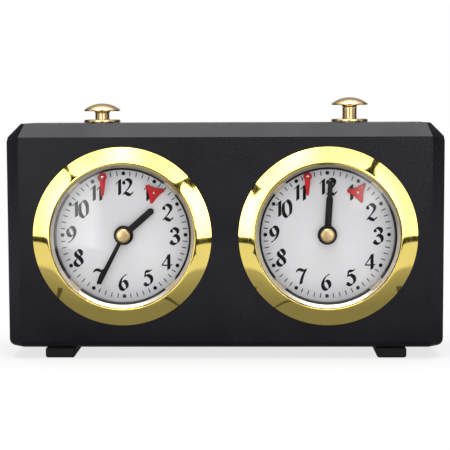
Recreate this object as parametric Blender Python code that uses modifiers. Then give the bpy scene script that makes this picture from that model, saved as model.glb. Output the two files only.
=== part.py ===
"""Analogue chess clock with two wind-up movements in one case.

Metres, +Z up. The dials face -Y and +X is to the right as seen from the front. The origin is under the
middle of the whole, on the plane that the feet stand on. Depths are measured backwards from the front
face of the case. Both movements are alike, so each of their shapes is made once round its own axis and
set down twice.
"""

import math

import bmesh
import bpy
from mathutils import Matrix

# Clearance left between pieces that touch, pass through or turn in each other
CLEARANCE = 0.0003

# Case, back cover and feet
CASE_WIDTH = 0.1915
CASE_HEIGHT = 0.0982
CASE_DEPTH = 0.0485
CHAMFER = 0.0059
CORNER_SLANT = 0.66
BOTTOM_ROUND = 0.0032
WALL = 0.0028
COVER_THICKNESS = 0.0025
COVER_POST_RADIUS = 0.0030
FOOT_SPACING = 0.1461
FOOT_WIDTH = 0.0130
FOOT_HEIGHT = 0.0049
FOOT_SETBACK = 0.0030
FOOT_EDGE = 0.0007

# Bezels with the tabs that hold them, and lenses
DIAL_SPACING = 0.0896
BEZEL_RADIUS = 0.0389
BEZEL_WIDTH = 0.0071
BEZEL_RISE = 0.0023
BEZEL_RIM = 0.0007
LIP_EDGE = 0.0005
THROAT_TAPER = 0.0013
PANEL_RING = 0.0014
TAB_TURNS = (45, 135, 225, 315)
TAB_WIDTH = 0.0062
TAB_THICKNESS = 0.0008
TAB_LIFT = 0.0010
TAB_BRIDGE = 0.0005
TAB_ROOT = 0.0010
TAB_HOOK = 0.0022
LENS_THICKNESS = 0.0008

# Dials
DIAL_DEPTH = 0.0080
DIAL_THICKNESS = 0.0008
DIAL_LAP = 0.0039
DIAL_FOOT_TURNS = (30, 150, 270)
DIAL_FOOT_RADIUS = 0.0012
DIAL_FOOT_INSET = 0.0050

# Hands and their caps, angles clockwise from twelve
HAND_THICKNESS = 0.0006
HAND_GAP = 0.0004
HOUR_HAND_LENGTH = 0.0174
HOUR_HAND_WIDTH = 0.0029
HOUR_HUB_RADIUS = 0.0043
HOUR_ANGLES = (48.8, 3.5)
MINUTE_HAND_LENGTH = 0.0240
MINUTE_HAND_WIDTH = 0.0021
MINUTE_HAND_WAIST = 0.0017
MINUTE_HUB_RADIUS = 0.0028
MINUTE_ANGLES = (207.5, 3.0)
CAP_RADIUS = 0.0031
CAP_HEIGHT = 0.0021
CAP_EDGE = 0.0004
CAP_ROOF = 0.0008

# Flags with their pins, and run indicators
FLAG_INSET = 0.0018
FLAG_TURN = 108.8
FLAG_LENGTH = 0.0084
FLAG_RING_RADIUS = 0.0017
FLAG_WAIST = 0.0017
FLAG_TIP = 0.0008
FLAG_PIN_HEAD_RADIUS = 0.0010
FLAG_PIN_HEAD_HEIGHT = 0.0005
INDICATOR_INSET = 0.0062
INDICATOR_TURN = 54.3
INDICATOR_RADIUS = 0.0047
INDICATOR_HOLLOW = 0.0022
INDICATOR_TIP_TURN = 11
INDICATOR_THICKNESS = 0.0009
INDICATOR_ANGLES = (314.0, 38.0)

# Buttons, their collars and the rocker that couples them
BUTTON_SPACING = 0.1110
BUTTON_RADIUS = 0.0081
BUTTON_DOME = 0.0035
BUTTON_RIM = 0.0007
BUTTON_LIFT = 0.0053
BUTTON_TRAVEL = 0.0024
STEM_RADIUS = 0.0032
STEM_FILLET = 0.0005
COLLAR_RADIUS = 0.0082
COLLAR_HEIGHT = 0.0013
COLLAR_RIM = 0.0010
COLLAR_SLOPE = 0.0004
SLEEVE_WALL = 0.0012
SLEEVE_LENGTH = 0.0056
ROCKER_THICKNESS = 0.0080
ROCKER_HEIGHT = 0.0044
ROCKER_HUB_RADIUS = 0.0045
ROCKER_PAD = 0.0035
FINGER_WIDTH = 0.0020
PIN_RADIUS = 0.0015
PIN_HEAD_RADIUS = 0.0026
PIN_HEAD_HEIGHT = 0.0008
PIN_TAIL = 0.0007
EAR_THICKNESS = 0.0022

# Movement plates and the pillars between them
PLATE_THICKNESS = 0.0012
PLATE_MARGIN = 0.0025
PLATE_CORNER = 0.0020
PILLAR_RADIUS = 0.0020
PILLAR_GAP = 0.0011
PILLAR_TURN = 48.4
COVER_ROOM = 0.0085

# Arbors, the tube and pipe that turn round the centre arbor, and the minute wheel's stud
ARBOR_RADIUS = 0.0005
CENTRE_RADIUS = 0.0009
TUBE_WALL = 0.0002
PIPE_WALL = 0.0007
STUD_RADIUS = 0.0006

# Thicknesses of the toothed pieces
GREAT_THICKNESS = 0.0015
WHEEL_THICKNESS = 0.0011
PINION_LENGTH = 0.0019
WORK_THICKNESS = 0.0012
WORK_GAP = 0.0008

# Where the wheels lie between the plates, in tenths of the room there
GREAT_LAYER = 0.5
FOURTH_LAYER = 3.0
BALANCE_LAYER = 4.2
ESCAPE_LAYER = 5.5
THIRD_LAYER = 6.4
HAIRSPRING_LAYER = 7.1
DRUM_LAYER = 8.2
CENTRE_LAYER = 8.6

# Numbers of teeth of the wheels and of leaves of the pinions that they drive
BARREL_TEETH = 36
CENTRE_LEAVES = 6
CENTRE_TEETH = 36
THIRD_LEAVES = 6
THIRD_TEETH = 30
FOURTH_LEAVES = 6
FOURTH_TEETH = 30
ESCAPE_LEAVES = 6
ESCAPE_TEETH = 15
CANNON_LEAVES = 6
MINUTE_TEETH = 18
MINUTE_LEAVES = 6
HOUR_TEETH = 24

# Tooth sizes, pitch diameter over number of teeth, of each pair in mesh
GREAT_MODULE = 0.000780
CENTRE_MODULE = 0.000514
FOURTH_MODULE = 0.000510
CANNON_MODULE = 0.000833

# Room between the third wheel's teeth and the centre arbor
THIRD_GAP = 0.0009354

# Shape of the teeth, in modules
TOOTH_TIP = 0.80
TOOTH_ROOT = 1.00
LEAF_TIP = 0.45
LEAF_HALF = 0.40

# Crossings that lighten the wheels
CROSSING_ARMS = 3
CROSSING_RIM = 0.0011
CROSSING_HUB = 0.0029
CROSSING_ARM = 0.0012

# Directions of the train's axes
BARREL_TURN = 225
FOURTH_TURN = -95
MINUTE_TURN = 135
ESCAPEMENT_TURN = 172

# Escapement
ESCAPE_RADIUS = 0.0046
ESCAPE_TOOTH = 0.0014
ESCAPE_RAKE = 4
PALLET_REACH = 0.0016
PALLET_PIN_TURN = 38
PALLET_PIN_LIFT = 0.0007
LEVER_SHARE = 0.75
LEVER_TAIL = 0.0040
LEVER_TIP = 0.0004
BALANCE_GAP = 0.0004
BALANCE_RADIUS = 0.0065
BALANCE_RIM_WIDTH = 0.0012
BALANCE_RIM_THICKNESS = 0.0015
BALANCE_ARM = 0.0016
BALANCE_HUB_RADIUS = 0.0011
BALANCE_HUB_LENGTH = 0.0025
HAIRSPRING_WIRE = 0.00012
HAIRSPRING_INSET = 0.0013
HAIRSPRING_LOOPS = 2.5
HAIRSPRING_POINTS = 24

# Barrel and mainspring
DRUM_INSET = 0.0009
DRUM_WALL = 0.0008
MAINSPRING_THICKNESS = 0.0004
MAINSPRING_LOOPS = 3
MAINSPRING_POINTS = 16

# Winding keys and setting knobs behind the case
KEY_RADIUS = 0.0016
KEY_REACH = 0.0125
KEY_SPAN = 0.0190
KEY_THICKNESS = 0.0019
KEY_GAP = 0.0012
KEY_EAR_RADIUS = 0.0029
KEY_DIP = 0.0036
KEY_NECK = 0.0057
KEY_ARBOR_REACH = 0.0075
KNOB_RADIUS = 0.0045
KNOB_LENGTH = 0.0060
KNOB_GAP = 0.0010
KNOB_NECK_RADIUS = 0.0031
KNOB_SLOPE = 0.0012
KNOB_EDGE = 0.0006
KNOB_ARBOR_REACH = 0.0045

# Numbers of facets round circles
RING_FACETS = 56
HEAD_FACETS = 24
HUB_FACETS = 16
BORE_FACETS = 12
PIVOT_FACETS = 6
POST_FACETS = 6
CREST_STEPS = 5

# Angles between faces that shade as one round surface or count as one flat face, and points that are one
SMOOTH_ANGLE = 35
FLAT_ANGLE = 0.1
WELD = 1e-7
CLOSE = 1e-6

# Places that follow from the sizes
SIDES = (("left", -1), ("right", 1))
CENTRE = (0.0, 0.0)
DIAL_X = DIAL_SPACING / 2
BUTTON_X = BUTTON_SPACING / 2
FOOT_X = FOOT_SPACING / 2
CASE_BASE = FOOT_HEIGHT
CASE_TOP = CASE_BASE + CASE_HEIGHT
DIAL_Z = CASE_BASE + CASE_HEIGHT / 2
FRONT_Y = (BEZEL_RISE - CASE_DEPTH - KEY_REACH) / 2
BUTTON_DEPTH = CASE_DEPTH / 2
BUTTON_Y = FRONT_Y + BUTTON_DEPTH
BEZEL_LIP = BEZEL_RADIUS - BEZEL_WIDTH
BEZEL_THROAT = BEZEL_LIP - THROAT_TAPER
APERTURE = BEZEL_THROAT - PANEL_RING
DIAL_RADIUS = APERTURE + DIAL_LAP
TAB_INNER = APERTURE + CLEARANCE
TAB_OUTER = TAB_INNER + TAB_THICKNESS

# Depths of the layers in front of the dial, back to front
INDICATOR_NEAR = DIAL_DEPTH - HAND_GAP - INDICATOR_THICKNESS
HOUR_NEAR = INDICATOR_NEAR - HAND_GAP - HAND_THICKNESS
MINUTE_NEAR = HOUR_NEAR - HAND_GAP - HAND_THICKNESS
FLAG_NEAR = MINUTE_NEAR - HAND_GAP - HAND_THICKNESS
CAP_NEAR = MINUTE_NEAR - CLEARANCE - CAP_HEIGHT

# Depths of the layers behind the dial, front to back
DIAL_BACK = DIAL_DEPTH + DIAL_THICKNESS
WORK_NEAR = DIAL_BACK + WORK_GAP
CANNON_NEAR = WORK_NEAR + WORK_THICKNESS + WORK_GAP
PLATE_NEAR = CANNON_NEAR + WORK_THICKNESS + WORK_GAP
INSIDE = PLATE_NEAR + PLATE_THICKNESS
COVER_NEAR = CASE_DEPTH - COVER_THICKNESS
BACK_PLATE_NEAR = COVER_NEAR - COVER_ROOM - PLATE_THICKNESS
ROOM = BACK_PLATE_NEAR - INSIDE
PIVOT_NEAR = PLATE_NEAR + CLEARANCE
PIVOT_FAR = BACK_PLATE_NEAR + PLATE_THICKNESS - CLEARANCE

# Bores and walls round the centre arbor and the button stems
CENTRE_BORE = CENTRE_RADIUS + CLEARANCE
TUBE_RADIUS = CENTRE_BORE + TUBE_WALL
TUBE_SEAT = CENTRE_BORE + TUBE_WALL / 2
PIPE_RADIUS = CENTRE_BORE + PIPE_WALL
PIVOT_BORE = ARBOR_RADIUS + CLEARANCE
KEY_BORE = KEY_RADIUS + CLEARANCE
STEM_BORE = STEM_RADIUS + CLEARANCE
SLEEVE_RADIUS = STEM_BORE + SLEEVE_WALL

# Rocker
ROCKER_ANGLE = math.asin(BUTTON_TRAVEL / 2 / BUTTON_X)
ROCKER_HALF = ROCKER_HEIGHT / 2
ROCKER_Z = CASE_TOP - SLEEVE_LENGTH - BUTTON_TRAVEL - ROCKER_HALF - CLEARANCE
EAR_NEAR = ROCKER_THICKNESS / 2 + CLEARANCE
EAR_FAR = EAR_NEAR + EAR_THICKNESS


def apart(module, one, other):
    """Distance between the axes of two toothed pieces in mesh."""
    return module * (one + other) / 2


def away(start, distance, degrees):
    """The place at a distance from start, counter-clockwise from the right as seen from the front."""
    turn = math.radians(degrees)
    return (start[0] + distance * math.cos(turn), start[1] + distance * math.sin(turn))


def heading(start, end):
    """Direction from one place to another in degrees."""
    return math.degrees(math.atan2(end[1] - start[1], end[0] - start[0]))


def third_corner(first, second, from_first, from_second):
    """The place at the given distances from two others, on the right of the line between them."""
    run = math.dist(first, second)
    along = (from_first**2 - from_second**2 + run**2) / (2 * run)
    aside = math.sqrt(from_first**2 - along**2)
    middle = away(first, along, heading(first, second))
    return away(middle, aside, heading(first, second) - 90)


# Axes of the movement, measured from the centre arbor
HOUR_MODULE = CANNON_MODULE * (CANNON_LEAVES + MINUTE_TEETH) / (MINUTE_LEAVES + HOUR_TEETH)
BARREL = away(CENTRE, apart(GREAT_MODULE, BARREL_TEETH, CENTRE_LEAVES), BARREL_TURN)
GREAT_RADIUS = GREAT_MODULE * (BARREL_TEETH / 2 + TOOTH_TIP)
MOVEMENT_RADIUS = max(DIAL_RADIUS, math.dist(CENTRE, BARREL) + GREAT_RADIUS)
PILLAR = away(CENTRE, MOVEMENT_RADIUS + PILLAR_GAP + PILLAR_RADIUS, PILLAR_TURN)
PLATE_HALF = (PILLAR[0] + PLATE_MARGIN, PILLAR[1] + PLATE_MARGIN)
FLAG_PIVOT = away(CENTRE, APERTURE - FLAG_INSET, FLAG_TURN)
MINUTE = away(CENTRE, apart(CANNON_MODULE, CANNON_LEAVES, MINUTE_TEETH), MINUTE_TURN)
ESCAPE = away(CENTRE, APERTURE - INDICATOR_INSET, INDICATOR_TURN)
FOURTH = away(ESCAPE, apart(FOURTH_MODULE, FOURTH_TEETH, ESCAPE_LEAVES), FOURTH_TURN)
THIRD_RUN = apart(CENTRE_MODULE, CENTRE_TEETH, THIRD_LEAVES)
THIRD_MODULE = (THIRD_RUN - CENTRE_RADIUS - THIRD_GAP) / (THIRD_TEETH / 2 + TOOTH_TIP)
THIRD = third_corner(CENTRE, FOURTH, THIRD_RUN, apart(THIRD_MODULE, THIRD_TEETH, FOURTH_LEAVES))
PALLET = away(ESCAPE, ESCAPE_RADIUS + PALLET_REACH, ESCAPEMENT_TURN)
LEVER_BODY = LEVER_SHARE * PALLET_REACH
BALANCE = away(PALLET, ARBOR_RADIUS + BALANCE_GAP + BALANCE_RADIUS, ESCAPEMENT_TURN)


def layer(number):
    """Depth of a layer between the plates."""
    return INSIDE + ROOM * number / 10


def clear_scene():
    """Empties the file, so that the build starts from nothing."""
    for old in list(bpy.data.objects):
        bpy.data.objects.remove(old, do_unlink=True)


def collection(name):
    """A new collection in the scene."""
    group = bpy.data.collections.new(name)
    bpy.context.scene.collection.children.link(group)
    return group


def material(name, colour, metallic, roughness, clear=0.0):
    """A plain Principled material."""
    made = bpy.data.materials.new(name)
    made.use_nodes = True
    shader = made.node_tree.nodes["Principled BSDF"]
    shader.inputs["Base Color"].default_value = (*colour, 1.0)
    shader.inputs["Metallic"].default_value = metallic
    shader.inputs["Roughness"].default_value = roughness
    shader.inputs["Transmission Weight"].default_value = clear
    return made


def held(name, data):
    """A working object in the tools collection, neither drawn nor built."""
    thing = bpy.data.objects.new(name, data)
    TOOLS.objects.link(thing)
    thing.hide_render = True
    thing.display_type = "WIRE"
    return thing


def finished(holder, turn=None):
    """Mesh of an object as its modifiers leave it, welded and faced outwards. Removes the object."""
    bpy.context.view_layer.update()
    graph = bpy.context.evaluated_depsgraph_get()
    mesh = bpy.data.meshes.new_from_object(holder.evaluated_get(graph))
    shape = bmesh.new()
    shape.from_mesh(mesh)
    bmesh.ops.transform(shape, matrix=holder.matrix_world, verts=shape.verts)
    if turn:
        bmesh.ops.transform(shape, matrix=turn, verts=shape.verts)
    bmesh.ops.remove_doubles(shape, verts=shape.verts, dist=WELD)
    bmesh.ops.recalc_face_normals(shape, faces=shape.faces)
    level = math.radians(FLAT_ANGLE)
    bmesh.ops.dissolve_limit(shape, angle_limit=level, verts=shape.verts, edges=shape.edges)
    shape.to_mesh(mesh)
    shape.free()
    name = holder.name
    bpy.data.objects.remove(holder, do_unlink=True)
    mesh.name = name
    return mesh


def flat(name, loops, near, thickness):
    """A flat piece facing front: closed outlines in the plane of the dials, filled and thickened."""
    curve = bpy.data.curves.new(name, "CURVE")
    curve.dimensions = "2D"
    curve.fill_mode = "BOTH"
    curve.extrude = thickness / 2
    for loop in loops:
        spline = curve.splines.new("POLY")
        spline.points.add(len(loop) - 1)
        for point, place in zip(spline.points, loop):
            point.co = (place[0], place[1], 0, 1)
        spline.use_cyclic_u = True
    middle = FRONT_Y + near + thickness / 2
    stand = Matrix.Translation((0, middle, 0)) @ Matrix.Rotation(math.pi / 2, 4, "X")
    return finished(held(name, curve), stand)


def crosswise(name, outline, width):
    """A flat piece seen from above: an outline of reach to the right and depth, with an upright width."""
    mesh = flat(name, [outline], -FRONT_Y - width / 2, width)
    mesh.transform(Matrix.Translation((0, FRONT_Y, 0)) @ Matrix.Rotation(-math.pi / 2, 4, "X"))
    return mesh


def turned(name, profile, facets, ring=False):
    """A turned piece standing on +Z: a profile of radius and height, run down its outer side."""
    mesh = bpy.data.meshes.new(name)
    edges = [(i, i + 1) for i in range(len(profile) - 1)]
    if ring:
        edges.append((len(profile) - 1, 0))
    mesh.from_pydata([(radius, 0, height) for radius, height in profile], edges, [])
    holder = held(name, mesh)
    screw = holder.modifiers.new("turn", "SCREW")
    screw.axis = "Z"
    screw.steps = facets
    screw.render_steps = facets
    screw.use_merge_vertices = True
    screw.merge_threshold = CLOSE
    return finished(holder)


def facing(name, profile, facets, ring=False):
    """A turned piece whose axis runs front to back: a profile of radius and depth, run front to back."""
    mesh = turned(name, [(radius, -FRONT_Y - depth) for radius, depth in profile], facets, ring)
    mesh.transform(Matrix.Rotation(math.pi / 2, 4, "X"))
    return mesh


def rod(name, radius, near, far, facets, place=CENTRE):
    """A plain round bar from front to back."""
    bar = facing(name, [(0, near), (radius, near), (radius, far), (0, far)], facets)
    bar.transform(Matrix.Translation((place[0], 0, place[1])))
    return bar


def upright(name, radius, low, high, facets, place):
    """A plain round bar that stands up, at a place in plan."""
    bar = turned(name, [(0, high), (radius, high), (radius, low), (0, low)], facets)
    bar.transform(Matrix.Translation((place[0], place[1], 0)))
    return bar


def block(name, low, high):
    """A plain box between two corners."""
    shape = bmesh.new()
    bmesh.ops.create_cube(shape, size=1)
    for vertex in shape.verts:
        for axis in range(3):
            vertex.co[axis] = high[axis] if vertex.co[axis] > 0 else low[axis]
    mesh = bpy.data.meshes.new(name)
    shape.to_mesh(mesh)
    shape.free()
    return mesh


def combined(name, base, tools):
    """One mesh joined with others."""
    holder = held(name, base)
    helpers = [held(name + "_tool", tool) for tool in tools]
    for helper in helpers:
        joint = holder.modifiers.new("join", "BOOLEAN")
        joint.operation = "UNION"
        joint.solver = "EXACT"
        joint.object = helper
    mesh = finished(holder)
    for helper in helpers:
        bpy.data.objects.remove(helper, do_unlink=True)
    return mesh


def cutter(part, name, mesh, operation="DIFFERENCE"):
    """Cuts a mesh out of a piece, or joins it on, and keeps the tool for later changes."""
    step = part.modifiers.new(name, "BOOLEAN")
    step.operation = operation
    step.solver = "EXACT"
    step.object = held(name, mesh)


def placed(name, mesh, look, place=(0.0, 0.0, 0.0), smooth=True):
    """Sets a finished piece down in the clock's collection."""
    thing = bpy.data.objects.new(name, mesh)
    thing.location = place
    CLOCK.objects.link(thing)
    if not mesh.materials:
        mesh.materials.append(look)
    if smooth:
        mesh.shade_smooth()
        mesh.set_sharp_from_angle(angle=math.radians(SMOOTH_ANGLE))
    return thing


def both(kind, mesh, look, place):
    """Sets one shape down on both sides, at a place measured from each centre arbor."""
    for side, sign in SIDES:
        placed(f"{side}_{kind}", mesh, look, (sign * DIAL_X + place[0], 0.0, DIAL_Z + place[1]))


def circle(radius, facets, place=CENTRE):
    """Points round a circle."""
    return [away(place, radius, 360 * i / facets) for i in range(facets)]


def arc(radius, place, first, last, steps):
    """Points along an arc, both ends included."""
    return [away(place, radius, first + (last - first) * i / steps) for i in range(steps + 1)]


def wheel_outline(teeth, module, start):
    """Pointed wheel teeth with one of them centred on the direction start."""
    pitch = module * teeth / 2
    points = []
    for tooth in range(teeth):
        turn = start + 360 * tooth / teeth
        points.append(away(CENTRE, pitch + TOOTH_TIP * module, turn))
        points.append(away(CENTRE, pitch - TOOTH_ROOT * module, turn + 180 / teeth))
    return points


def pinion_outline(leaves, module, start):
    """Slim pinion leaves with a gap between two of them centred on the direction start."""
    pitch = module * leaves / 2
    root = pitch - TOOTH_ROOT * module
    wide = math.degrees(LEAF_HALF * module / root)
    points = []
    for leaf in range(leaves):
        turn = start + 360 * (leaf + 0.5) / leaves
        points.append(away(CENTRE, root, turn - wide))
        points.append(away(CENTRE, pitch + LEAF_TIP * module, turn))
        points.append(away(CENTRE, root, turn + wide))
    return points


def crossings(teeth, module):
    """Windows between the arms of a wheel, each bounded by the rim and the hub."""
    outer = module * (teeth / 2 - TOOTH_ROOT) - CROSSING_RIM
    windows = []
    for arm in range(CROSSING_ARMS):
        first = 360 * arm / CROSSING_ARMS
        last = first + 360 / CROSSING_ARMS
        by_rim = math.degrees(math.asin(CROSSING_ARM / 2 / outer))
        by_hub = math.degrees(math.asin(CROSSING_ARM / 2 / CROSSING_HUB))
        rim = arc(outer, CENTRE, first + by_rim, last - by_rim, 3)
        windows.append(rim + arc(CROSSING_HUB, CENTRE, last - by_hub, first + by_hub, 1))
    return windows


def inner_chamfer(inset):
    """Width of the case's chamfer on a surface that lies inside it by inset."""
    return CHAMFER - inset * (2 - math.sqrt(2))


def case_outline(inset):
    """Cross-section of the case drawn in by inset, with its cut top corners."""
    half = CASE_WIDTH / 2 - inset
    low = CASE_BASE + inset
    high = CASE_TOP - inset
    cut = inner_chamfer(inset)
    right = [(half, low), (half, high - cut), (half - cut, high)]
    return right + [(-across, up) for across, up in reversed(right)]


def case_block(name, inset, far, rounding):
    """Block of the case drawn in by inset: chamfered round its front and top, rounded along the bottom."""
    half = CASE_WIDTH / 2 - inset
    near = FRONT_Y + inset
    low = CASE_BASE + inset
    high = CASE_TOP - inset
    mesh = block(name, (-half, near, low), (half, FRONT_Y + far, high))
    shape = bmesh.new()
    shape.from_mesh(mesh)

    def runs(edge, axis, value):
        return all(abs(vertex.co[axis] - value) < CLOSE for vertex in edge.verts)

    chosen = []
    for edge in shape.edges:
        front = runs(edge, 1, near)
        top = runs(edge, 2, high)
        side = runs(edge, 0, half) or runs(edge, 0, -half)
        if front + top + side == 2:
            chosen.append(edge)
    cut = inner_chamfer(inset)
    bmesh.ops.bevel(shape, geom=chosen, offset=cut, segments=1, profile=0.5, affect="EDGES")
    if rounding:
        rim = [edge for edge in shape.edges if runs(edge, 2, low) and not runs(edge, 1, FRONT_Y + far)]
        bmesh.ops.bevel(shape, geom=rim, offset=rounding, segments=4, profile=0.5, affect="EDGES")
    shape.to_mesh(mesh)
    shape.free()
    return mesh


def slant_corners(mesh):
    """Slants the facets of the two top front corners, so that they reach further back than the chamfers."""
    shape = bmesh.new()
    shape.from_mesh(mesh)
    for _, sign in SIDES:
        corner = (sign * (CASE_WIDTH / 2 - CHAMFER), FRONT_Y, CASE_TOP - CHAMFER)
        outward = (sign, -CORNER_SLANT, 1.0)
        whole = [*shape.verts, *shape.edges, *shape.faces]
        plane = {"dist": CLOSE, "plane_co": corner, "plane_no": outward}
        cut = bmesh.ops.bisect_plane(shape, geom=whole, clear_outer=True, **plane)
        rim = [part for part in cut["geom_cut"] if isinstance(part, bmesh.types.BMEdge)]
        bmesh.ops.contextual_create(shape, geom=rim)
    shape.to_mesh(mesh)
    shape.free()


def make_case():
    """The shell with its apertures, bores, posts and rocker ears, then the cover and the feet."""
    outside = case_block("case_shell", 0.0, CASE_DEPTH, BOTTOM_ROUND)
    slant_corners(outside)
    shell = placed("case_shell", outside, BLACK, smooth=False)
    cutter(shell, "case_hollow", case_block("case_hollow", WALL, CASE_DEPTH + WALL, 0.0))
    for side, sign in SIDES:
        centre = (sign * DIAL_X, DIAL_Z)
        opening = rod("aperture", APERTURE, -WALL, 2 * WALL, RING_FACETS, centre)
        notches = [tab_notch(turn, centre) for turn in TAB_TURNS]
        cutter(shell, side + "_aperture", combined("aperture", opening, notches))
        low = CASE_TOP - 2 * WALL
        spot = (sign * BUTTON_X, BUTTON_Y)
        bore = upright("button_bore", SLEEVE_RADIUS + CLEARANCE, low, CASE_TOP + WALL, HEAD_FACETS, spot)
        cutter(shell, side + "_button_bore", bore)
        ends = (WALL / 2, PLATE_NEAR - CLEARANCE)
        for across in (-1, 1):
            for up in (-1, 1):
                place = (centre[0] + across * PILLAR[0], centre[1] + up * PILLAR[1])
                post = rod("movement_post", PILLAR_RADIUS, *ends, POST_FACETS, place)
                cutter(shell, f"{side}_movement_post_{across}_{up}", post, "UNION")
        ends = (WALL / 2, COVER_NEAR - CLEARANCE)
        for up in (-1, 1):
            post = rod("cover_post", COVER_POST_RADIUS, *ends, POST_FACETS, cover_post(sign, up))
            cutter(shell, f"{side}_cover_post_{up}", post, "UNION")
    for way in (-1, 1):
        walls = sorted((BUTTON_Y + way * EAR_NEAR, BUTTON_Y + way * EAR_FAR))
        low = (-ROCKER_HUB_RADIUS, walls[0], ROCKER_Z - ROCKER_HUB_RADIUS)
        high = (ROCKER_HUB_RADIUS, walls[1], CASE_TOP - WALL / 2)
        cutter(shell, f"rocker_ear_{way}", block("rocker_ear", low, high), "UNION")
    ends = (BUTTON_DEPTH - EAR_FAR - WALL, BUTTON_DEPTH + EAR_FAR + WALL)
    hole = rod("rocker_pin_hole", PIN_RADIUS + CLEARANCE, *ends, BORE_FACETS, (0.0, ROCKER_Z))
    cutter(shell, "rocker_pin_hole", hole)
    make_cover()
    make_feet()


def tab_notch(turn, centre):
    """The cut in the aperture's rim that lets one tab of the bezel through."""
    low = (APERTURE - TAB_THICKNESS, FRONT_Y - WALL / 2, -TAB_WIDTH / 2 - CLEARANCE)
    high = (TAB_OUTER + CLEARANCE, FRONT_Y + 3 * WALL / 2, TAB_WIDTH / 2 + CLEARANCE)
    mesh = block("tab_notch", low, high)
    mesh.transform(Matrix.Rotation(-math.radians(turn), 4, "Y"))
    mesh.transform(Matrix.Translation((centre[0], 0, centre[1])))
    return mesh


def cover_post(sign, up):
    """Where a post for a cover screw stands, clear of the chamfers."""
    inside = CHAMFER + COVER_POST_RADIUS + CLEARANCE
    edge = CASE_BASE if up < 0 else CASE_TOP
    return (sign * (CASE_WIDTH / 2 - inside), edge - up * inside)


def make_cover():
    """The flat cover that closes the back of the case, with holes for the keys and the setting arbors."""
    holes = []
    for _, sign in SIDES:
        centre = (sign * DIAL_X, DIAL_Z)
        barrel = (centre[0] + BARREL[0], centre[1] + BARREL[1])
        holes.append(circle(KEY_BORE + CLEARANCE, BORE_FACETS, barrel))
        holes.append(circle(CENTRE_BORE + CLEARANCE, BORE_FACETS, centre))
    outline = case_outline(WALL + CLEARANCE)
    placed("back_cover", flat("back_cover", [outline, *holes], COVER_NEAR, COVER_THICKNESS), BLACK)


def make_feet():
    """Two rails under the case with broken edges."""
    for side, sign in SIDES:
        middle = sign * FOOT_X
        low = (middle - FOOT_WIDTH / 2, FRONT_Y + FOOT_SETBACK, 0.0)
        high = (middle + FOOT_WIDTH / 2, FRONT_Y + CASE_DEPTH - FOOT_SETBACK, FOOT_HEIGHT - CLEARANCE)
        foot = placed(side + "_foot", block(side + "_foot", low, high), RUBBER, smooth=False)
        edge = foot.modifiers.new("edges", "BEVEL")
        edge.width = FOOT_EDGE
        edge.segments = 1


def make_bezel():
    """A convex ring with a sloped throat and four tabs that hook behind the front, and the lens in it."""
    crest = BEZEL_LIP + LIP_EDGE
    lip_height = BEZEL_RISE - LIP_EDGE / 2
    profile = [(BEZEL_THROAT, -CLEARANCE), (BEZEL_LIP, -lip_height)]
    for step in range(CREST_STEPS + 1):
        turn = math.radians(90 * step / CREST_STEPS)
        height = BEZEL_RIM + (BEZEL_RISE - BEZEL_RIM) * math.cos(turn)
        profile.append((crest + (BEZEL_RADIUS - crest) * math.sin(turn), -height))
    profile.append((BEZEL_RADIUS, -CLEARANCE))
    ring = facing("bezel", profile, RING_FACETS, ring=True)
    root = BEZEL_THROAT + TAB_ROOT
    bridge = TAB_BRIDGE - TAB_LIFT
    hook = WALL + CLEARANCE
    outline = [
        (TAB_INNER, -TAB_LIFT),
        (root, -TAB_LIFT),
        (root, bridge),
        (TAB_OUTER, bridge),
        (TAB_OUTER, hook),
        (TAB_OUTER + TAB_HOOK, hook),
        (TAB_OUTER + TAB_HOOK, hook + TAB_THICKNESS),
        (TAB_INNER, hook + TAB_THICKNESS),
    ]
    tabs = []
    for turn in TAB_TURNS:
        tab = crosswise("tab", outline, TAB_WIDTH)
        tab.transform(Matrix.Rotation(-math.radians(turn), 4, "Y"))
        tabs.append(tab)
    both("bezel", combined("bezel", ring, tabs), GOLD, CENTRE)
    lens_lift = TAB_LIFT + CLEARANCE
    slope = THROAT_TAPER / (lip_height - CLEARANCE)
    radius = BEZEL_THROAT + slope * (lens_lift - CLEARANCE) - CLEARANCE
    lens = rod("lens", radius, -lens_lift - LENS_THICKNESS, -lens_lift, RING_FACETS)
    both("lens", lens, GLASS, CENTRE)


def make_dial():
    """The dial with the three feet that stand on the front plate."""
    pivots = [circle(PIVOT_BORE, PIVOT_FACETS, place) for place in (FLAG_PIVOT, ESCAPE)]
    outline = circle(DIAL_RADIUS, RING_FACETS)
    middle = circle(PIPE_RADIUS + CLEARANCE, HUB_FACETS)
    disc = flat("dial", [outline, middle, *pivots], DIAL_DEPTH, DIAL_THICKNESS)
    feet = []
    for turn in DIAL_FOOT_TURNS:
        place = away(CENTRE, DIAL_RADIUS - DIAL_FOOT_INSET, turn)
        ends = (DIAL_DEPTH + DIAL_THICKNESS / 2, PLATE_NEAR - CLEARANCE)
        feet.append(rod("dial_foot", DIAL_FOOT_RADIUS, *ends, PIVOT_FACETS, place))
    both("dial", combined("dial", disc, feet), WHITE, CENTRE)


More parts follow.
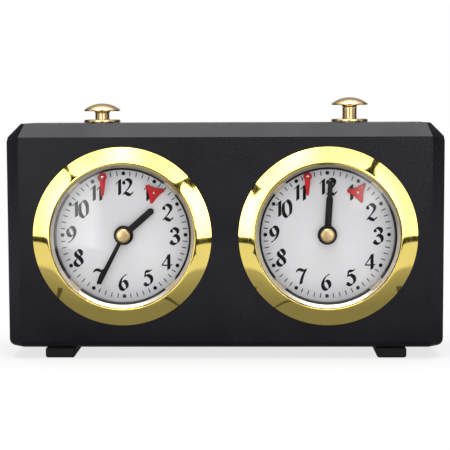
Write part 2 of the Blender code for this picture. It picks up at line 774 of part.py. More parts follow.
def make_hands():
    """Hour and minute hands as they stand at rest, and the caps that hold them."""
    half = HOUR_HAND_WIDTH / 2
    tip = arc(half, (0.0, HOUR_HAND_LENGTH - half), 0, 180, 6)
    hour_loops = [hub_rim(HOUR_HUB_RADIUS, half) + tip, circle(PIPE_RADIUS + CLEARANCE, HUB_FACETS)]
    half = MINUTE_HAND_WIDTH / 2
    tip = [(half, MINUTE_HAND_LENGTH), (-half, MINUTE_HAND_LENGTH)]
    rim = hub_rim(MINUTE_HUB_RADIUS, MINUTE_HAND_WAIST / 2)
    minute_loops = [rim + tip, circle(CENTRE_BORE, BORE_FACETS)]
    for (side, sign), hour, minute in zip(SIDES, HOUR_ANGLES, MINUTE_ANGLES):
        spot = (sign * DIAL_X, 0.0, DIAL_Z)
        for kind, loops, near, angle in (
            ("_hour_hand", hour_loops, HOUR_NEAR, hour),
            ("_minute_hand", minute_loops, MINUTE_NEAR, minute),
        ):
            hand = flat(side + kind, loops, near, HAND_THICKNESS)
            hand.transform(Matrix.Rotation(math.radians(angle), 4, "Y"))
            placed(side + kind, hand, HANDS, spot)
    far = CAP_NEAR + CAP_HEIGHT
    roof = CAP_NEAR + CAP_ROOF
    profile = [
        (0, CAP_NEAR),
        (CAP_RADIUS - CAP_EDGE, CAP_NEAR),
        (CAP_RADIUS, CAP_NEAR + CAP_EDGE),
        (CAP_RADIUS, far),
        (CENTRE_BORE, far),
        (CENTRE_BORE, roof),
        (0, roof),
    ]
    both("hand_cap", facing("hand_cap", profile, HUB_FACETS), BRASS, CENTRE)


def hub_rim(radius, half):
    """Rim of a hand's hub, from one side of its upright blade round to the other."""
    lean = math.degrees(math.asin(half / radius))
    return arc(radius, CENTRE, 90 + lean, 450 - lean, HUB_FACETS)


def make_flag():
    """The flag that hangs from its pin in front of the minute hand."""
    lean = math.degrees(math.asin(FLAG_WAIST / 2 / FLAG_RING_RADIUS))
    ring = arc(FLAG_RING_RADIUS, CENTRE, lean - 90, 270 - lean, 10)
    loop = ring + [(-FLAG_TIP / 2, -FLAG_LENGTH), (FLAG_TIP / 2, -FLAG_LENGTH)]
    flag = flat("flag", [loop, circle(PIVOT_BORE, PIVOT_FACETS)], FLAG_NEAR, HAND_THICKNESS)
    both("flag", flag, RED, FLAG_PIVOT)
    head = FLAG_NEAR - CLEARANCE
    profile = [
        (0, head - FLAG_PIN_HEAD_HEIGHT),
        (FLAG_PIN_HEAD_RADIUS, head - FLAG_PIN_HEAD_HEIGHT),
        (FLAG_PIN_HEAD_RADIUS, head),
        (ARBOR_RADIUS, head),
        (ARBOR_RADIUS, DIAL_BACK),
        (0, DIAL_BACK),
    ]
    both("flag_pin", facing("flag_pin", profile, PIVOT_FACETS), STEEL, FLAG_PIVOT)


def make_indicator():
    """The three-pointed piece on the escape wheel's arbor, whose turning shows which side runs."""
    points = []
    for turn in (90, 210, 330):
        points.append(away(CENTRE, INDICATOR_RADIUS, turn - INDICATOR_TIP_TURN))
        points.append(away(CENTRE, INDICATOR_RADIUS, turn + INDICATOR_TIP_TURN))
        for step in (-2, -1, 0, 1, 2):
            rise = (INDICATOR_RADIUS - INDICATOR_HOLLOW) * (step / 3) ** 2
            points.append(away(CENTRE, INDICATOR_HOLLOW + rise, turn + 60 + 20 * step))
    loops = [points, circle(PIVOT_BORE, PIVOT_FACETS)]
    for (side, sign), angle in zip(SIDES, INDICATOR_ANGLES):
        star = flat(side + "_run_indicator", loops, INDICATOR_NEAR, INDICATOR_THICKNESS)
        star.transform(Matrix.Rotation(math.radians(angle), 4, "Y"))
        placed(side + "_run_indicator", star, RED, (sign * DIAL_X + ESCAPE[0], 0.0, DIAL_Z + ESCAPE[1]))


def make_buttons():
    """Buttons, their collars, the rocker and its pin. The left button is down at rest."""
    top = COLLAR_HEIGHT + CLEARANCE
    rim = COLLAR_RIM + CLEARANCE
    profile = [
        (STEM_BORE, top),
        (COLLAR_RADIUS - COLLAR_SLOPE, top),
        (COLLAR_RADIUS, rim),
        (COLLAR_RADIUS, CLEARANCE),
        (SLEEVE_RADIUS, CLEARANCE),
        (SLEEVE_RADIUS, -SLEEVE_LENGTH),
        (STEM_BORE, -SLEEVE_LENGTH),
    ]
    collar = turned("button_collar", profile, HEAD_FACETS, ring=True)
    for side, sign in SIDES:
        placed(side + "_button_collar", collar, BRASS, (sign * BUTTON_X, BUTTON_Y, CASE_TOP))
        under = CASE_TOP + BUTTON_LIFT + (BUTTON_TRAVEL if sign > 0 else 0.0)
        foot = ROCKER_Z + ROCKER_HALF + sign * BUTTON_TRAVEL / 2 + CLEARANCE
        button = turned(side + "_button", button_profile(under, foot), HEAD_FACETS)
        placed(side + "_button", button, BRASS, (sign * BUTTON_X, BUTTON_Y, 0.0))

    loops = [rocker_outline(), circle(PIN_RADIUS + CLEARANCE, BORE_FACETS)]
    bar = flat("rocker", loops, BUTTON_DEPTH - ROCKER_THICKNESS / 2, ROCKER_THICKNESS)
    bar.transform(Matrix.Rotation(-ROCKER_ANGLE, 4, "Y"))
    placed("rocker", bar, GREY, (0.0, 0.0, ROCKER_Z))
    head = BUTTON_DEPTH - EAR_FAR - CLEARANCE
    tail = BUTTON_DEPTH + EAR_FAR + PIN_TAIL
    profile = [
        (0, head - PIN_HEAD_HEIGHT),
        (PIN_HEAD_RADIUS, head - PIN_HEAD_HEIGHT),
        (PIN_HEAD_RADIUS, head),
        (PIN_RADIUS, head),
        (PIN_RADIUS, tail),
        (0, tail),
    ]
    placed("rocker_pin", facing("rocker_pin", profile, BORE_FACETS), STEEL, (0.0, 0.0, ROCKER_Z))


def button_profile(under, foot):
    """A domed mushroom head on a stem that reaches down to the rocker."""
    rim = under + BUTTON_RIM
    profile = [(0, under + BUTTON_DOME)]
    for step in (1, 2, 3, 4):
        turn = math.radians(90 * step / 4)
        height = rim + (BUTTON_DOME - BUTTON_RIM) * math.cos(turn)
        profile.append((BUTTON_RADIUS * math.sin(turn), height))
    profile += [(BUTTON_RADIUS, under), (STEM_RADIUS + STEM_FILLET, under)]
    profile += [(STEM_RADIUS, under - STEM_FILLET), (STEM_RADIUS, foot), (0, foot)]
    return profile


def rocker_outline():
    """Bar with a hub round its pin, pads under the buttons and a finger over each balance wheel."""
    end = BUTTON_X + ROCKER_PAD
    rim = DIAL_Z + BALANCE[1] + BALANCE_RADIUS - ROCKER_Z
    swing = BUTTON_TRAVEL / 2 * DIAL_X / BUTTON_X
    tip = rim + swing + 2 * CLEARANCE
    lean = math.degrees(math.asin(ROCKER_HALF / ROCKER_HUB_RADIUS))
    points = [(-end, ROCKER_HALF)]
    points += arc(ROCKER_HUB_RADIUS, CENTRE, 180 - lean, lean, 8)
    points += [(end, ROCKER_HALF), (end, -ROCKER_HALF)]
    points += finger(DIAL_X + BALANCE[0], tip)
    points += arc(ROCKER_HUB_RADIUS, CENTRE, -lean, lean - 180, 8)
    points += finger(-DIAL_X + BALANCE[0], tip)
    points.append((-end, -ROCKER_HALF))
    return points


def finger(middle, tip):
    """Outline of one finger under the rocker, right side first."""
    right = middle + FINGER_WIDTH / 2
    left = middle - FINGER_WIDTH / 2
    return [(right, -ROCKER_HALF), (right, tip), (left, tip), (left, -ROCKER_HALF)]


def make_plates():
    """Front plate with the minute wheel's stud, back plate with the four pillars."""
    wide, tall = PLATE_HALF
    right = [(wide - PLATE_CORNER, -tall), (wide, PLATE_CORNER - tall)]
    right += [(across, -up) for across, up in reversed(right)]
    outline = right + [(-across, up) for across, up in reversed(right)]
    axes = (THIRD, FOURTH, ESCAPE, PALLET, BALANCE)
    pivots = [circle(PIVOT_BORE, PIVOT_FACETS, place) for place in axes]
    pivots.append(circle(KEY_BORE, BORE_FACETS, BARREL))
    front_loops = [outline, *pivots, circle(CENTRE_BORE, BORE_FACETS)]
    front = flat("front_plate", front_loops, PLATE_NEAR, PLATE_THICKNESS)
    stud = rod("stud", STUD_RADIUS, WORK_NEAR, PLATE_NEAR + PLATE_THICKNESS / 2, PIVOT_FACETS, MINUTE)
    both("front_plate", combined("front_plate", front, [stud]), BRASS, CENTRE)
    back_loops = [outline, *pivots, circle(TUBE_RADIUS + CLEARANCE, BORE_FACETS)]
    back = flat("back_plate", back_loops, BACK_PLATE_NEAR, PLATE_THICKNESS)
    ends = (INSIDE + CLEARANCE, BACK_PLATE_NEAR + PLATE_THICKNESS / 2)
    pillars = []
    for across in (-1, 1):
        for up in (-1, 1):
            place = (across * PILLAR[0], up * PILLAR[1])
            pillars.append(rod("pillar", PILLAR_RADIUS, *ends, POST_FACETS, place))
    both("back_plate", combined("back_plate", back, pillars), BRASS, CENTRE)


def make_train():
    """Centre, third, fourth and escape wheels, each with the pinion that the wheel before it drives."""
    great = layer(GREAT_LAYER)
    centre = layer(CENTRE_LAYER)
    third = layer(THIRD_LAYER)
    fourth = layer(FOURTH_LAYER)
    seat = circle(TUBE_SEAT, BORE_FACETS)
    tube = [
        (CENTRE_BORE, great - CLEARANCE),
        (TUBE_RADIUS, great - CLEARANCE),
        (TUBE_RADIUS, PIVOT_FAR),
        (CENTRE_BORE, PIVOT_FAR),
    ]
    tube = facing("tube", tube, BORE_FACETS, ring=True)
    leaves = pinion_outline(CENTRE_LEAVES, GREAT_MODULE, heading(CENTRE, BARREL))
    leaves = flat("leaves", [leaves, seat], great, GREAT_THICKNESS)
    teeth = wheel_outline(CENTRE_TEETH, CENTRE_MODULE, heading(CENTRE, THIRD))
    windows = crossings(CENTRE_TEETH, CENTRE_MODULE)
    teeth = flat("teeth", [teeth, seat, *windows], centre, WHEEL_THICKNESS)
    both("centre_wheel", combined("centre_wheel", tube, [leaves, teeth]), BRASS, CENTRE)

    leaves = pinion_outline(THIRD_LEAVES, CENTRE_MODULE, heading(THIRD, CENTRE))
    teeth = wheel_outline(THIRD_TEETH, THIRD_MODULE, heading(THIRD, FOURTH))
    windows = crossings(THIRD_TEETH, THIRD_MODULE)
    train_wheel("third_wheel", THIRD, [teeth, *windows], third, leaves, centre, PIVOT_NEAR)

    leaves = pinion_outline(FOURTH_LEAVES, THIRD_MODULE, heading(FOURTH, THIRD))
    teeth = wheel_outline(FOURTH_TEETH, FOURTH_MODULE, heading(FOURTH, ESCAPE))
    windows = crossings(FOURTH_TEETH, FOURTH_MODULE)
    train_wheel("fourth_wheel", FOURTH, [teeth, *windows], fourth, leaves, third, PIVOT_NEAR)

    leaves = pinion_outline(ESCAPE_LEAVES, FOURTH_MODULE, heading(ESCAPE, FOURTH))
    teeth = []
    for tooth in range(ESCAPE_TEETH):
        turn = 360 * tooth / ESCAPE_TEETH
        teeth.append(away(CENTRE, ESCAPE_RADIUS - ESCAPE_TOOTH, turn - ESCAPE_RAKE))
        teeth.append(away(CENTRE, ESCAPE_RADIUS, turn))
    arbor_near = INDICATOR_NEAR + CLEARANCE
    train_wheel("escape_wheel", ESCAPE, [teeth], layer(ESCAPE_LAYER), leaves, fourth, arbor_near)


def train_wheel(kind, place, loops, wheel_near, leaves, driver_near, arbor_near):
    """A wheel and a pinion on one arbor, the pinion level with the wheel that drives it."""
    arbor = rod(kind, ARBOR_RADIUS, arbor_near, PIVOT_FAR, PIVOT_FACETS)
    wheel = flat("wheel", loops, wheel_near, WHEEL_THICKNESS)
    overhang = (PINION_LENGTH - WHEEL_THICKNESS) / 2
    pinion = flat("pinion", [leaves], driver_near - overhang, PINION_LENGTH)
    both(kind, combined(kind, arbor, [wheel, pinion]), BRASS, place)


def make_barrel():
    """Open barrel on its great wheel, the mainspring in it, and the key whose arbor runs through it."""
    great = layer(GREAT_LAYER)
    pitch = GREAT_MODULE * BARREL_TEETH / 2
    drum = pitch - TOOTH_ROOT * GREAT_MODULE - DRUM_INSET
    drum_far = layer(DRUM_LAYER)
    teeth = wheel_outline(BARREL_TEETH, GREAT_MODULE, heading(BARREL, CENTRE))
    disc = flat("barrel", [teeth, circle(KEY_BORE, BORE_FACETS)], great, GREAT_THICKNESS)
    inner = drum - DRUM_WALL
    base = great + GREAT_THICKNESS / 2
    wall = [(inner, base), (drum, base), (drum, drum_far), (inner, drum_far)]
    shell = facing("drum", wall, HUB_FACETS, ring=True)
    both("barrel", combined("barrel", disc, [shell]), BRASS, BARREL)
    coil_near = great + GREAT_THICKNESS + CLEARANCE
    coil = coil_outline(KEY_BORE + CLEARANCE, inner * math.cos(math.pi / HUB_FACETS) - CLEARANCE)
    spring = flat("mainspring", [coil], coil_near, drum_far - CLEARANCE - coil_near)
    both("mainspring", spring, STEEL, BARREL)


def coil_outline(inner, outer):
    """One unbroken strip wound outwards, drawn along its outer side and back along its inner side."""
    count = MAINSPRING_LOOPS * MAINSPRING_POINTS
    climb = (outer - inner - MAINSPRING_THICKNESS) / count
    in_side = []
    out_side = []
    for i in range(count + 1):
        turn = 360 * i / MAINSPRING_POINTS
        in_side.append(away(CENTRE, inner + climb * i, turn))
        out_side.append(away(CENTRE, inner + climb * i + MAINSPRING_THICKNESS, turn))
    gap = climb * MAINSPRING_POINTS - MAINSPRING_THICKNESS
    print(f"mainspring: gap between coils {gap * 1000:.2f} mm")
    return out_side + in_side[::-1]


def make_key():
    """Winding key: a butterfly wing across the end of the arbor that runs through the barrel."""
    out = CASE_DEPTH + KEY_REACH
    grip = CASE_DEPTH + KEY_GAP
    ear = KEY_SPAN / 2 - KEY_EAR_RADIUS
    left = arc(KEY_EAR_RADIUS, (-ear, out - KEY_EAR_RADIUS), 200, 60, 5)
    right = [(-across, depth) for across, depth in reversed(left)]
    outline = left + [(0.0, out - KEY_DIP)] + right + [(KEY_NECK / 2, grip), (-KEY_NECK / 2, grip)]
    wing = crosswise("wing", outline, KEY_THICKNESS)
    arbor = rod("winding_key", KEY_RADIUS, PIVOT_NEAR, CASE_DEPTH + KEY_ARBOR_REACH, BORE_FACETS)
    both("winding_key", combined("winding_key", arbor, [wing]), BRASS, BARREL)


def make_escapement():
    """Pallet lever, balance wheel and hairspring."""
    level = layer(ESCAPE_LAYER)
    toward = heading(PALLET, ESCAPE)
    arms = []
    for side in (-1, 1):
        turn = toward + 180 + side * PALLET_PIN_TURN
        pin = away(ESCAPE, ESCAPE_RADIUS + PALLET_PIN_LIFT, turn)
        arms.append((pin[0] - PALLET[0], pin[1] - PALLET[1]))
    tail = away(CENTRE, LEVER_TAIL, toward + 180)
    outline = [
        away(CENTRE, LEVER_BODY, toward),
        away(arms[0], LEVER_TIP, toward),
        away(arms[0], LEVER_TIP, toward - 90),
        away(CENTRE, LEVER_BODY, toward + 120),
        away(tail, LEVER_TIP, toward + 90),
        away(tail, LEVER_TIP, toward - 90),
        away(CENTRE, LEVER_BODY, toward - 120),
        away(arms[1], LEVER_TIP, toward + 90),
        away(arms[1], LEVER_TIP, toward),
    ]
    lever = flat("lever", [outline], level, WHEEL_THICKNESS)
    staff = rod("pallet_lever", ARBOR_RADIUS, PIVOT_NEAR, PIVOT_FAR, PIVOT_FACETS)
    both("pallet_lever", combined("pallet_lever", staff, [lever]), STEEL, PALLET)

    rim_near = layer(BALANCE_LAYER)
    inner = BALANCE_RADIUS - BALANCE_RIM_WIDTH
    arm = math.degrees(math.asin(BALANCE_ARM / 2 / inner))
    halves = [arc(inner, CENTRE, start + arm, start + 180 - arm, 8) for start in (90, 270)]
    rim = flat("rim", [circle(BALANCE_RADIUS, HUB_FACETS), *halves], rim_near, BALANCE_RIM_THICKNESS)
    hub_near = rim_near + (BALANCE_RIM_THICKNESS - BALANCE_HUB_LENGTH) / 2
    hub = rod("hub", BALANCE_HUB_RADIUS, hub_near, hub_near + BALANCE_HUB_LENGTH, PIVOT_FACETS)
    staff = rod("balance_wheel", ARBOR_RADIUS, PIVOT_NEAR, PIVOT_FAR, PIVOT_FACETS)
    both("balance_wheel", combined("balance_wheel", staff, [hub, rim]), BRASS, BALANCE)
    make_hairspring()


def make_hairspring():
    """Flat spiral of round wire round the balance staff, one unbroken tube."""
    level = FRONT_Y + layer(HAIRSPRING_LAYER)
    inner = PIVOT_BORE + HAIRSPRING_WIRE
    outer = BALANCE_RADIUS - HAIRSPRING_INSET
    count = round(HAIRSPRING_LOOPS * HAIRSPRING_POINTS)
    climb = (outer - inner) / count
    path = [away(CENTRE, inner + climb * i, 360 * i / HAIRSPRING_POINTS) for i in range(count + 1)]
    least = outer
    for i, place in enumerate(path):
        for other in path[i + HAIRSPRING_POINTS // 2 :]:
            least = min(least, math.dist(place, other))
    print(f"hairspring: least gap to itself {(least - 2 * HAIRSPRING_WIRE) * 1000:.2f} mm")
    curve = bpy.data.curves.new("hairspring", "CURVE")
    curve.dimensions = "3D"
    curve.bevel_depth = HAIRSPRING_WIRE
    curve.bevel_resolution = 1
    curve.use_fill_caps = True
    spline = curve.splines.new("POLY")
    spline.points.add(count)
    for point, place in zip(spline.points, path):
        point.co = (place[0], level, place[1], 1)
    both("hairspring", finished(held("hairspring", curve)), STEEL, BALANCE)


def make_motion_work():
    """Centre arbor with its cannon pinion, minute wheel, hour wheel with its pipe, and setting knob."""
    toward = heading(CENTRE, MINUTE)
    arbor_far = CASE_DEPTH + KNOB_ARBOR_REACH
    arbor = rod("centre_arbor", CENTRE_RADIUS, CAP_NEAR + CAP_ROOF + CLEARANCE, arbor_far, BORE_FACETS)
    leaves = pinion_outline(CANNON_LEAVES, CANNON_MODULE, toward)
    cannon = flat("cannon", [leaves], CANNON_NEAR, WORK_THICKNESS)
    both("centre_arbor", combined("centre_arbor", arbor, [cannon]), STEEL, CENTRE)

    bore = circle(STUD_RADIUS + CLEARANCE, PIVOT_FACETS)
    teeth = wheel_outline(MINUTE_TEETH, CANNON_MODULE, toward + 180)
    wheel = flat("minute_wheel", [teeth, bore], CANNON_NEAR, WORK_THICKNESS)
    leaves = pinion_outline(MINUTE_LEAVES, HOUR_MODULE, toward + 180)
    pinion = flat("pinion", [leaves, bore], WORK_NEAR, CANNON_NEAR + WORK_THICKNESS / 2 - WORK_NEAR)
    both("minute_wheel", combined("minute_wheel", wheel, [pinion]), BRASS, MINUTE)

    bore = circle(CENTRE_BORE, BORE_FACETS)
    teeth = wheel_outline(HOUR_TEETH, HOUR_MODULE, toward)
    wheel = flat("hour_wheel", [teeth, bore], WORK_NEAR, WORK_THICKNESS)
    pipe_length = WORK_NEAR + WORK_THICKNESS / 2 - HOUR_NEAR
    pipe = flat("pipe", [circle(PIPE_RADIUS, HUB_FACETS), bore], HOUR_NEAR, pipe_length)
    both("hour_wheel", combined("hour_wheel", wheel, [pipe]), BRASS, CENTRE)

    near = CASE_DEPTH + KNOB_GAP
    far = near + KNOB_LENGTH
    socket = arbor_far + CLEARANCE
    profile = [
        (0, socket),
        (CENTRE_BORE, socket),
        (CENTRE_BORE, near),
        (KNOB_NECK_RADIUS, near),
        (KNOB_RADIUS, near + KNOB_SLOPE),
        (KNOB_RADIUS, far - KNOB_EDGE),
        (KNOB_RADIUS - KNOB_EDGE, far),
        (0, far),
    ]
    both("set_knob", facing("set_knob", profile, HUB_FACETS), BRASS, CENTRE)


clear_scene()
CLOCK = collection("chess_clock")
TOOLS = collection("cutters")
BLACK = material("black_plastic", (0.020, 0.020, 0.023), 0.0, 0.55)
RUBBER = material("foot_rubber", (0.015, 0.015, 0.015), 0.0, 0.8)
GREY = material("rocker_plastic", (0.20, 0.20, 0.21), 0.0, 0.5)
GOLD = material("bezel_brass", (0.83, 0.66, 0.28), 1.0, 0.12)
BRASS = material("turned_brass", (0.72, 0.54, 0.28), 1.0, 0.3)
STEEL = material("bright_steel", (0.62, 0.62, 0.63), 1.0, 0.3)
GLASS = material("lens_glass", (1.0, 1.0, 1.0), 0.0, 0.02, 1.0)
WHITE = material("dial_white", (0.72, 0.72, 0.75), 0.0, 0.5)
HANDS = material("hand_black", (0.012, 0.012, 0.013), 0.0, 0.45)
RED = material("signal_red", (0.60, 0.02, 0.02), 0.0, 0.4)
make_case()
make_bezel()
make_dial()
make_hands()
make_flag()
make_indicator()
make_buttons()
make_plates()
make_train()
make_barrel()
make_key()
make_escapement()
make_motion_work()
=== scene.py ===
"""Looks of an analogue chess clock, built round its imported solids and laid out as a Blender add-on.

Metres, +Z up, the dials face -Y. Each new piece is a surface worked out with numpy, and keeps the place
and the reach of the solid that it stands for.
"""

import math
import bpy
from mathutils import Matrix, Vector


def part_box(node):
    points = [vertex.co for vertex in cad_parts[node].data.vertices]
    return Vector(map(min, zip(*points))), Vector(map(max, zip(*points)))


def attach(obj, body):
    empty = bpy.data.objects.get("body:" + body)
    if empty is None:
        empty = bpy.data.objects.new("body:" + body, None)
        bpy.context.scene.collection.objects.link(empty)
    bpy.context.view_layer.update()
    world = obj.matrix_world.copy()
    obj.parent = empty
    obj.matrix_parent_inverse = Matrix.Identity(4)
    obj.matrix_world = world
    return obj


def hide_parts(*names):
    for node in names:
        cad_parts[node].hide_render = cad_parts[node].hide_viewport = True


bl_info = {
    "name": "Chess Clock",
    "version": (1, 0, 0),
    "blender": (4, 5, 0),
    "location": "3D View > Sidebar > Clock",
    "description": "Dresses the solids of a wind-up chess clock with finished pieces, materials and a studio",
    "category": "Object",
}

import bmesh
import bpy
import numpy as np
from bpy.props import FloatProperty, FloatVectorProperty, IntProperty, PointerProperty
from bpy.types import Operator, Panel, PropertyGroup
from mathutils import Quaternion, Vector

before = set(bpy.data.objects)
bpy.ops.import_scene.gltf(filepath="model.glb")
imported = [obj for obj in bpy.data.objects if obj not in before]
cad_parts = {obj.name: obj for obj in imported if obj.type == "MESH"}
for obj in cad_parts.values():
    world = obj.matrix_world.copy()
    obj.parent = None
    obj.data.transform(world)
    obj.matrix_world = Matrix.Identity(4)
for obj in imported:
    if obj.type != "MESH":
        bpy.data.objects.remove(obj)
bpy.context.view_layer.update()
SIDES = ("left", "right")
FRONT, BACK = (corner.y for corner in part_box("case_shell"))
# Points closer than this are one, on new surfaces and on copied solids
WELD, SOLID_WELD = 1e-7, 1e-6
# Roundings of turned corners, from keen to plain
KEEN, FINE, PLAIN = 0.0001, 0.0002, 0.0003
# Edges stay sharp above these angles: plain pieces, copied solids, stamped and turned pieces
SHARP, SOLID, STAMPED, TURNED = 30, 35, 40, 50
# Steps round a turned piece
STEPS = {"bezel": 256, "lens": 192, "button": 128, "cap": 96, "rod": 48, "staff": 32, "dot": 28, "ball": 24}
WHITE, BLACK = (1.0, 1.0, 1.0, 1.0), (0.0, 0.0, 0.0, 1.0)


def maker(kind, **fixed):
    """A maker of properties of one kind that a user may change."""

    def made(name, default, description):
        return kind(name=name, default=default, description=description, **fixed)

    return made


length = maker(FloatProperty, min=0.0, precision=5, subtype="DISTANCE", unit="LENGTH")
colour = maker(FloatVectorProperty, size=3, min=0.0, max=1.0, subtype="COLOR")
share = maker(FloatProperty, min=0.0, max=1.0, subtype="FACTOR")
level = maker(FloatProperty, min=0.0)
count = maker(IntProperty, min=3)
spot = maker(FloatVectorProperty, subtype="XYZ", unit="LENGTH")
rotation = maker(FloatProperty, subtype="ANGLE", unit="ROTATION")


class ClockSizes(PropertyGroup):
    """Sizes of the finished pieces that their solids do not give."""

    case_edge: length("Case edge", 0.00035, "Rounding of the moulded case's edges")
    part_edge: length("Part edge", 0.00015, "Rounding of small stamped and moulded edges")
    bezel_width: length("Bezel width", 0.0071, "From the bezel's rim to its lip")
    bezel_rim: length("Bezel rim", 0.0007, "Height of the bezel's outer edge")
    bezel_crown: level("Bezel crown", 1.15, "Power of the bezel's slope, 1 for a plain cone")
    lip_round: length("Lip rounding", 0.0003, "Rounding of the bezel's lip")
    throat_taper: length("Throat taper", 0.0013, "How far the bezel's throat draws in")
    ring_inner: length("Inner ring", 0.0300, "Inner radius of the satin ring in the bezel's throat")
    tab_width: length("Tab width", 0.0062, "Width of the bezel's tabs")
    tab_thickness: length("Tab thickness", 0.0008, "Thickness of the bezel's tabs")
    print_height: length("Print height", 0.00003, "Thickness of the ink on the dials")
    numeral_height: length("Numeral height", 0.0072, "Height of the hour numbers")
    numeral_reach: length("Numeral reach", 0.0247, "From the dial's middle to the outer edge of the numbers")
    nib: share("Nib width", 0.21, "Width of the pen that draws the numbers, against their height")
    hairline: share("Hairline", 0.035, "Least width of a number's stroke, against its height")
    dot_radius: length("Hour dot", 0.00085, "Radius of the hour dots")
    dot_circle: length("Dot circle", 0.0272, "From the dial's middle to the hour dots")
    tick_inner: length("Tick start", 0.0261, "From the dial's middle to the near end of a minute mark")
    tick_outer: length("Tick end", 0.0281, "From the dial's middle to the far end of a minute mark")
    tick_width: length("Tick width", 0.00042, "Width of the minute marks")
    screw_radius: length("Cover screw", 0.0026, "Radius of the cover screws' heads")
    screw_height: length("Screw height", 0.0009, "Height of the cover screws' heads")
    screw_inset: length("Screw inset", 0.0092, "From the case's sides to the middle of a cover screw")
    knurls: count("Knurls", 40, "Ribs round a setting knob")
    knurl_depth: length("Knurl depth", 0.00022, "Depth of the grooves round a setting knob")
    key_ear: length("Key ear", 0.0029, "Radius of the round ears of a winding key")
    key_dip: length("Key dip", 0.0036, "Depth of the dip between a winding key's ears")
    key_neck: length("Key neck", 0.0057, "Width of a winding key's wing next to the cover")
    key_thickness: length("Key thickness", 0.0019, "Thickness of a winding key's wing")
    key_gap: length("Key gap", 0.0012, "Between the cover and a winding key's wing")
    key_root: length("Key root", 0.0075, "How far a winding arbor goes into its wing, from the cover")
    stem_radius: length("Button stem", 0.0032, "Radius of a button's stem")
    button_rim: length("Button rim", 0.0007, "Height of a button's upright rim")
    button_dome: length("Button dome", 0.0035, "Height of a button's head with its rim")
    collar_bore: length("Collar bore", 0.0035, "Radius of the hole that a button's stem slides in")
    collar_sleeve: length("Collar sleeve", 0.0047, "Radius of the collar's part inside the case")
    collar_disc: length("Collar disc", 0.0013, "Height of the collar's disc above the case")
    collar_rim: length("Collar rim", 0.0010, "Height of the collar's upright rim")
    collar_slope: length("Collar slope", 0.0004, "How far the collar's top edge is sloped off")
    pin_shank: length("Pin shank", 0.0005, "Radius of the pins that the flags hang on")
    pin_head: length("Pin head", 0.00062, "Radius of those pins' heads")
    flag_eye: length("Flag eye", 0.0019, "Radius of a flag's round eye")
    flag_waist: length("Flag waist", 0.00130, "Half a flag's width under its eye")
    flag_tip: length("Flag tip", 0.00060, "Half a flag's width at its end")
    star_reach: length("Indicator reach", 0.0056, "From an indicator's middle to its points")
    star_hollow: length("Indicator waist", 0.0024, "From an indicator's middle to the middle of its sides")
    lever_hollow: length("Lever hollow", 0.00505, "Radius of a pallet lever's hollow round the escape wheel")
    mainspring_loops: count("Mainspring loops", 9, "Turns of a mainspring")
    mainspring_strip: length("Mainspring strip", 0.0003, "Thickness of a mainspring")
    hairspring_loops: count("Hairspring loops", 9, "Turns of a hairspring")
    hairspring_strip: length("Hairspring strip", 0.00008, "Thickness of a hairspring")


class ClockColours(PropertyGroup):
    """Colours of the clock's materials."""

    case: colour("Case", (0.0049, 0.0047, 0.0080), "Black moulded plastic")
    bezel: colour("Bezel", (0.93, 0.74, 0.20), "Polished brass")
    button: colour("Button", (0.72, 0.52, 0.27), "Turned brass")
    satin: colour("Inner ring", (0.66, 0.60, 0.52), "Satin ring in the bezels' throats")
    tab: colour("Tab", (0.42, 0.36, 0.24), "Dull brass of the bezels' tabs")
    dial: colour("Dial", (0.78, 0.774, 0.80), "White enamel")
    ink: colour("Ink", (0.005, 0.005, 0.007), "Print on the dials")
    hand: colour("Hand", (0.007, 0.006, 0.006), "Black enamel of the hands")
    signal: colour("Signal", (0.56, 0.011, 0.013), "Red plastic of the flags and indicators")
    rubber: colour("Rubber", (0.0060, 0.0060, 0.0064), "Rubber of the feet")
    movement: colour("Movement", (0.68, 0.51, 0.24), "Stamped brass of the movements")
    steel: colour("Steel", (0.60, 0.60, 0.61), "Ground steel")
    spring: colour("Spring", (0.34, 0.36, 0.42), "Blued spring steel")
    rocker: colour("Rocker", (0.20, 0.20, 0.21), "Grey moulded plastic inside the case")


class ClockStudio(PropertyGroup):
    """Camera, lamps, cards and floor."""

    camera: spot("Camera", (0.0122, FRONT - 0.600, 0.1099), "Where the camera stands")
    target: spot("Target", (0.0, FRONT, 0.0590), "What the camera looks at")
    roll: rotation("Roll", math.radians(-0.2), "Turn of the camera about its own axis")
    lens: level("Focal length", 110.84, "Camera's focal length in millimetres")
    fill: level("Fill", 0.28, "Soft light that comes from everywhere")
    overhead: level("Overhead", 5.2, "Brightness of the soft box above")
    front_box: level("Front boxes", 1.0, "Brightness of the three soft boxes in front")
    camera_box: level("Camera box", 1.9, "Brightness of the soft box behind the camera")
    arch: level("Arch", 2.1, "Brightness of the bright arch in front")
    haze: level("Haze", 3.1, "Brightness of the cards that the lenses show")
    dark_card: level("Dark cards", 0.05, "Brightness of the dark cards beside the stage")
    floor: colour("Floor", (0.75, 0.75, 0.75), "Pale floor")


def sizes():
    """The sizes that the scene keeps."""
    return bpy.context.scene.clock_sizes


# Places of the solids


def middle(node, depth=FRONT):
    """Middle of a solid in an upright plane, as a rule the case's front."""
    low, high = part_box(node)
    return np.array([(low.x + high.x) / 2, depth, (low.z + high.z) / 2])


def centre(side):
    """Middle of a dial in the front plane."""
    return middle(side + "_bezel")


def depths(node):
    """Where a solid starts and ends behind the front plane."""
    low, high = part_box(node)
    return low.y - FRONT, high.y - FRONT


def half_width(node):
    """Half of a solid's width."""
    low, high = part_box(node)
    return (high.x - low.x) / 2


# Surfaces, each a list of points, its faces and the map places of its points


